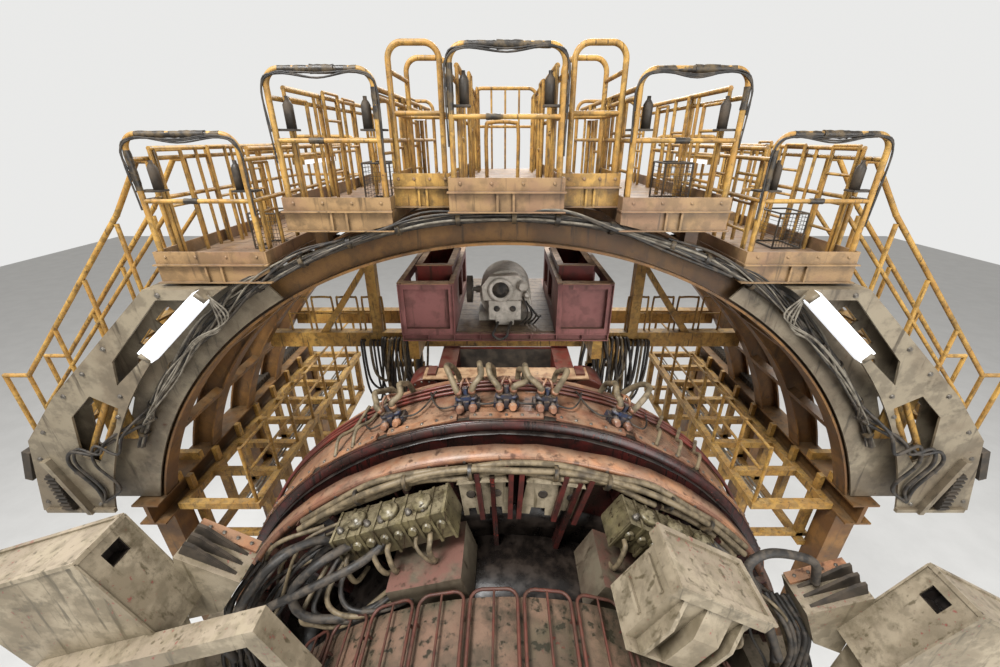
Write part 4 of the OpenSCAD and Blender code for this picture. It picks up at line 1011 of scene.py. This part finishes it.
def rim_hoses():
    """Hoses tied along the ring's front, hoses that hang down its sides, and five thick ones before it."""
    rng = random.Random(43)
    tan = Piece("rim_hoses", "erector", TAN_HOSE, AT_PARK)
    black = Piece("rim_black_hoses", "erector", BLACK_HOSE, AT_PARK)
    ties = Piece("rim_hose_ties", "erector", TAPE, AT_PARK)
    rows = ((3.61, -2.72), (3.55, -2.75), (3.49, -2.74), (3.58, -2.79))
    for radius, y in rows:
        route = [polar(radius + rng.uniform(-0.03, 0.03), a, y + rng.uniform(-0.03, 0.03))
                 for a in range(-44, 52, 8)]
        tan.tube(route, 0.034, 10, steps=5)
    for a in (-31, -22, -11, 3, 12, 24, 33):
        ties.tube([polar(3.555, a - 0.3, -2.755), polar(3.555, a + 0.3, -2.755)], 0.088, 14, steps=0)
    for side, count in ((-1, 11), (1, 9)):
        for k in range(count):
            start = side * rng.uniform(30, 40)
            radius = rng.uniform(3.1, 3.5)
            reach = rng.uniform(3.15, 3.65)
            dip = rng.uniform(0.0, 0.5)
            route = [polar(radius, start, -2.86 - rng.uniform(0, 0.1)),
                     polar(radius + rng.uniform(0.05, 0.25), start + side * 8, -3.0 - rng.uniform(0, 0.15)),
                     polar(reach, start + side * 18, -3.1 - rng.uniform(0, 0.2)),
                     polar(reach - dip * 0.3, start + side * 29, -3.2 - rng.uniform(0, 0.2)),
                     polar(reach - dip * 0.6, start + side * 40, -3.1 - rng.uniform(0, 0.25)),
                     polar(reach - dip, start + side * rng.uniform(48, 60), -2.95)]
            target = tan if rng.random() < 0.45 else black
            target.tube(route, rng.choice((0.018, 0.024, 0.032)), 8, steps=7)
    for side in (-1, 1):
        for k in range(4):
            a = side * (33 + 3 * k)
            route = [polar(3.15, a, -3.02), polar(3.1, a + side * 4, -3.3 - 0.05 * k),
                     polar(2.92, a + side * 4, -3.46), polar(2.78, a - side * 2, -3.5),
                     polar(2.74, a - side * 9, -3.42 + 0.03 * k), polar(2.8, a - side * 13, -3.3)]
            (tan if k % 2 else black).tube(route, 0.026, 8)
    thick = Piece("thick_hoses", "erector", BLACK_HOSE)
    loops = (
        ((1.98, -2.98, 2.6), (2.2, -3.2, 2.8), (2.42, -3.42, 2.6), (2.7, -3.5, 2.0), (2.9, -3.4, 1.5)),
        ((2.84, -3.5, 1.7), (2.36, -3.5, 2.7), (2.24, -3.42, 2.98), (2.4, -3.36, 3.1), (2.7, -3.3, 3.02),
         (3.0, -3.27, 2.86), (3.12, -3.25, 2.55)),
        ((-1.6, -2.98, 2.74), (-1.95, -3.1, 2.95), (-2.25, -3.35, 2.92), (-2.55, -3.48, 2.55),
         (-2.8, -3.55, 2.1), (-2.95, -3.4, 1.5)),
        ((-1.1, -2.98, 3.0), (-1.4, -3.28, 2.9), (-1.85, -3.45, 2.76), (-2.4, -3.5, 2.45),
         (-2.8, -3.45, 1.9)),
        ((-1.4, -2.98, 2.9), (-1.75, -3.3, 2.95), (-2.05, -3.45, 2.7), (-1.95, -3.5, 2.4),
         (-1.5, -3.46, 2.36), (-1.0, -3.3, 2.5)),
    )
    for route in loops:
        thick.tube(route, 0.042, 12, steps=8)
    make_all(tan, black, ties, thick)


def manifold_details():
    """Caps, ribs, plugs and elbows on the two manifolds."""
    rng = random.Random(47)
    body = Piece("manifold_ribs", "erector", KHAKI, AT_PARK)
    steel = Piece("manifold_plugs", "erector", STEEL, AT_PARK)
    hoses = Piece("manifold_hoses", "erector", TAN_HOSE, AT_PARK)
    for a in (-25, 25):
        turn = on_rim(3.09, a, RIB_FRONT)
        for k in range(9):
            x = -0.6 + 0.15 * k
            body.block((x - 0.014, -0.37, -0.02), (x + 0.014, 0.0, 0.345), turn)
        for x in (-0.36, 0, 0.36):
            body.lathe((x, -0.19, 0.33), (0, 0, 1),
                       [(0, 0.1), (0.05, 0.1), (0.06, 0.085), (0.06, 0.05), (0.085, 0.045)], 20, turn)
        for k in range(8):
            x = -0.525 + 0.15 * k
            body.lathe((x, -0.34, 0.2), (0, -1, 0), [(0, 0.05), (0.03, 0.05), (0.035, 0.04), (0.05, 0.04)],
                       14, turn)
            if k % 3 == 1:
                continue
            steel.lathe((x, -0.26, 0.33), (0, 0, 1), [(0, 0.035), (0.03, 0.035), (0.035, 0.022), (0.06, 0.022)],
                        6, turn)
            sway = rng.uniform(-0.16, 0.16)
            hoses.tube([(x, -0.36, 0.12), (x, -0.44, 0.1),
                        (x + sway * 0.5, -0.48, rng.uniform(-0.08, 0.02)), (x + sway, -0.42, -0.2),
                        (x + sway, -0.2, -0.3)], rng.choice((0.018, 0.026, 0.032)), 8, turn)
    make_all(body, steel, hoses)


def rounded_hoop(radius, a0, a1, y0, y1, bend):
    """Closed route round a curved rectangle: angles from a0 to a1, depths from y0 to y1."""
    corner = math.degrees(bend / radius)
    corners = ((a1 - corner, y0 + bend, -90), (a1 - corner, y1 - bend, 0), (a0 + corner, y1 - bend, 90),
               (a0 + corner, y0 + bend, 180))
    route = []
    for a, y, start in corners:
        for k in range(5):
            t = math.radians(start + 22.5 * k)
            route.append(polar(radius, a + corner * math.cos(t), y + bend * math.sin(t)))
    route.append(route[0])
    return route


def drum_hoops():
    """Rounded guard hoops all round the hose drum, on short feet."""
    red = Piece("drum_guard_hoops", "erector", RUST, AT_PARK)
    clear = DRUM_R + 0.07
    half = 4.4
    for k in range(36):
        a = 10 * k + 2.5
        hoop = rounded_hoop(clear, a - half, a + half, DRUM_FRONT - 0.02, DRUM_BACK + 0.03, 0.1)
        red.tube(hoop, 0.0165, 8, steps=0)
        for b in (a - half, a + half):
            for y in (DRUM_BACK - 0.2, DRUM_FRONT + 0.2):
                red.rod(polar(DRUM_R - 0.005, b, y), polar(clear, b, y), 0.012, 6)
        red.rod(polar(clear, a, DRUM_FRONT), polar(clear, a, DRUM_BACK + 0.02), 0.012, 7)
    made = red.done()
    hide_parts("drum_hoops")


def leaning(corner, lean):
    """Place at a corner in X and Z, with a lean about Y."""
    return Matrix.Translation((corner[0], 0, corner[1])) @ Matrix.Rotation(lean, 4, "Y")


def arm_details():
    """Rims, slots, plates with ribs, bolts and hoses on the arm heads, and gussets on the capped box."""
    rng = random.Random(59)
    pale = Piece("arm_rims", "erector", PALE, AT_PARK)
    dark = Piece("arm_slots", "erector", GREASE, AT_PARK)
    ribs = Piece("arm_dark_gussets", "erector", DARK, AT_PARK)
    pink = Piece("arm_pink_plates", "erector", SALMON, AT_PARK)
    bolts = Piece("arm_bolts", "erector", STEEL, AT_PARK)
    hoses = Piece("arm_hoses", "erector", BLACK_HOSE, AT_PARK)
    head_long, head_deep = 1.35, 1.1
    for side in (-1, 1):
        mirror = Matrix.Scale(side, 4, (1, 0, 0))
        head = mirror @ leaning(HEAD_CORNER, HEAD_LEAN)
        for y in (GUIDE_FRONT - 0.012, GUIDE_BACK - 0.028):
            pale.block((-0.02, y, -0.02), (head_long + 0.02, y + 0.04, 0.018), head)
        for x in (-0.018, head_long - 0.02):
            pale.block((x, GUIDE_FRONT, -0.02), (x + 0.038, GUIDE_BACK, 0.018), head)
        for y in (GUIDE_FRONT - 0.018, GUIDE_BACK):
            pale.block((-0.02, y, -head_deep), (0.03, y + 0.018, 0), head)
        wall = 0.006
        x0, x1 = 0.012, 0.18
        y0, y1 = GUIDE_FRONT + 0.152, GUIDE_FRONT + 0.328
        z0, z1 = -0.258, -0.112
        dark.block((x1, y0, z0), (x1 + 0.017, y1, z1), head)
        for y in (y0, y1 - wall):
            dark.block((x0, y, z0), (x1, y + wall, z1), head)
        for z in (z0, z1 - wall):
            dark.block((x0, y0 + wall, z), (x1, y1 - wall, z + wall), head)
        sill = mirror @ leaning((2.75, 2.6), -SILL_LEAN)
        pink.block((0.02, GUIDE_BACK + 0.3, 0), (0.62, GUIDE_BACK + 0.42, 0.03), sill)
        for k in range(4):
            bolts.bolt(sill @ Vector((0.1 + 0.14 * k, GUIDE_BACK + 0.36, 0.03)), (0, 0, 1), 0.014)
        for y in (GUIDE_BACK + 0.05, GUIDE_BACK + 0.15, GUIDE_BACK + 0.25):
            ribs.plate([(0.04, -0.01), (0.61, -0.01), (0.61, 0.15), (0.52, 0.15)], y, y + 0.03, sill)
        for k in range(5):
            route = [(side * (2.6 + 0.06 * k), -3.1, 2.4), (side * (2.75 + 0.06 * k), -3.35, 2.2),
                     (side * (2.85 + 0.05 * k), -3.42, 1.8), (side * (2.8 + 0.1 * k), -3.4, 1.2),
                     (side * (2.95 + 0.08 * k), -3.3, 0.6), (side * (3.0 + 0.06 * k), -3.2, 0.1)]
            hoses.tube([Vector(p) + Vector((0, rng.uniform(-0.04, 0.02), 0)) for p in route],
                       rng.choice((0.02, 0.028)))
    box = leaning(CAP_CORNER, HEAD_LEAN)
    front, back = GUIDE_FRONT - 0.06, GUIDE_BACK + 0.06
    for y in (front - 0.012, back - 0.048):
        pale.block((-0.07, y, 0.05), (0.92, y + 0.06, 0.075), box)
    for x in (-0.07, 0.86):
        pale.block((x, front + 0.048, 0.05), (x + 0.06, back - 0.048, 0.075), box)
    side_view = [(GUIDE_FRONT, -0.06), (GUIDE_FRONT, -0.72), (GUIDE_FRONT - 0.12, -0.72),
                 (GUIDE_FRONT - 0.12, -0.34)]
    for x0, x1 in ((0.12, 0.16), (0.36, 0.62), (0.74, 0.78)):
        pale.wedge(side_view, x0, x1, box)
    pale.block((0.0, GUIDE_FRONT - 0.1, -0.75), (0.85, GUIDE_FRONT, -0.72), box)
    for z in (-0.2, -0.5):
        pale.block((-0.03, GUIDE_FRONT + 0.05, z), (0, GUIDE_BACK - 0.05, z + 0.03), box)
    make_all(pale, dark, bolts, hoses, ribs, pink)


# Stage


def set_camera():
    data = bpy.data.cameras.new("camera")
    data.sensor_width = SENSOR_MM
    data.lens = FOCAL_PX / PHOTO_W * SENSOR_MM
    data.shift_x = (PHOTO_W / 2 - MIDDLE_PX) / PHOTO_W
    data.clip_start = 0.05
    data.clip_end = 300
    camera = bpy.data.objects.new("camera", data)
    camera.location = CAMERA_AT
    camera.rotation_euler = (math.pi / 2 - CAMERA_DOWN, 0, 0)
    bpy.context.scene.collection.objects.link(camera)
    bpy.context.scene.camera = camera


def add_lamp(name, at, towards, size, watts):
    data = bpy.data.lights.new(name, "AREA")
    data.energy = watts
    data.shape = "SQUARE"
    data.size = size
    made = bpy.data.objects.new(name, data)
    made.location = at
    made.rotation_euler = (Vector(towards) - Vector(at)).to_track_quat("-Z", "Y").to_euler()
    bpy.context.scene.collection.objects.link(made)


def set_stage():
    mesh = bpy.data.meshes.new("floor")
    half = 60.0
    corners = [(-half, -half, 0), (half, -half, 0), (half, half, 0), (-half, half, 0)]
    mesh.from_pydata(corners, [], [(0, 1, 2, 3)])
    g = Graph("pale_floor")
    g.link(g.mix(g.steps(g.noise(0.8), 0.3, 0.7), (0.62, 0.62, 0.61), (0.66, 0.66, 0.65)), "Base Color")
    g.link(0.9, "Roughness")
    mesh.materials.append(g.material)
    floor = bpy.data.objects.new("floor", mesh)
    bpy.context.scene.collection.objects.link(floor)
    world = bpy.data.worlds.new("pale_room")
    world.use_nodes = True
    bpy.context.scene.world = world
    tree = world.node_tree
    tree.nodes.clear()
    seen = tree.nodes.new("ShaderNodeBackground")
    seen.inputs[0].default_value = (0.82, 0.82, 0.81, 1)
    soft = tree.nodes.new("ShaderNodeBackground")
    soft.inputs[0].default_value = (1.0, 0.98, 0.95, 1)
    soft.inputs[1].default_value = 0.5
    rays = tree.nodes.new("ShaderNodeLightPath")
    mixed = tree.nodes.new("ShaderNodeMixShader")
    out = tree.nodes.new("ShaderNodeOutputWorld")
    tree.links.new(rays.outputs["Is Camera Ray"], mixed.inputs[0])
    tree.links.new(soft.outputs[0], mixed.inputs[1])
    tree.links.new(seen.outputs[0], mixed.inputs[2])
    tree.links.new(mixed.outputs[0], out.inputs[0])
    add_lamp("key", (-7, -9, 27), (0, 0, 9), 6, 5400)
    add_lamp("fill", (10, -15, 15), (0, 0, 8), 12, 2300)
    add_lamp("back", (3, 14, 25), (0, 0, 9), 8, 4300)


set_camera()
coat_nodes()
taped_hoops()
fascias()
inner_frames()
post_holders()
deck_lamp_covers()
arch_cables()
bracket_details()
cradle_details()
cross_frame_details()
walkway_details()
valve_details()
bearing_details()
portal_details()
ring_details()
rim_hoses()
manifold_details()
drum_hoops()
arm_details()
set_stage()
bpy.context.scene.view_settings.view_transform = "Standard"
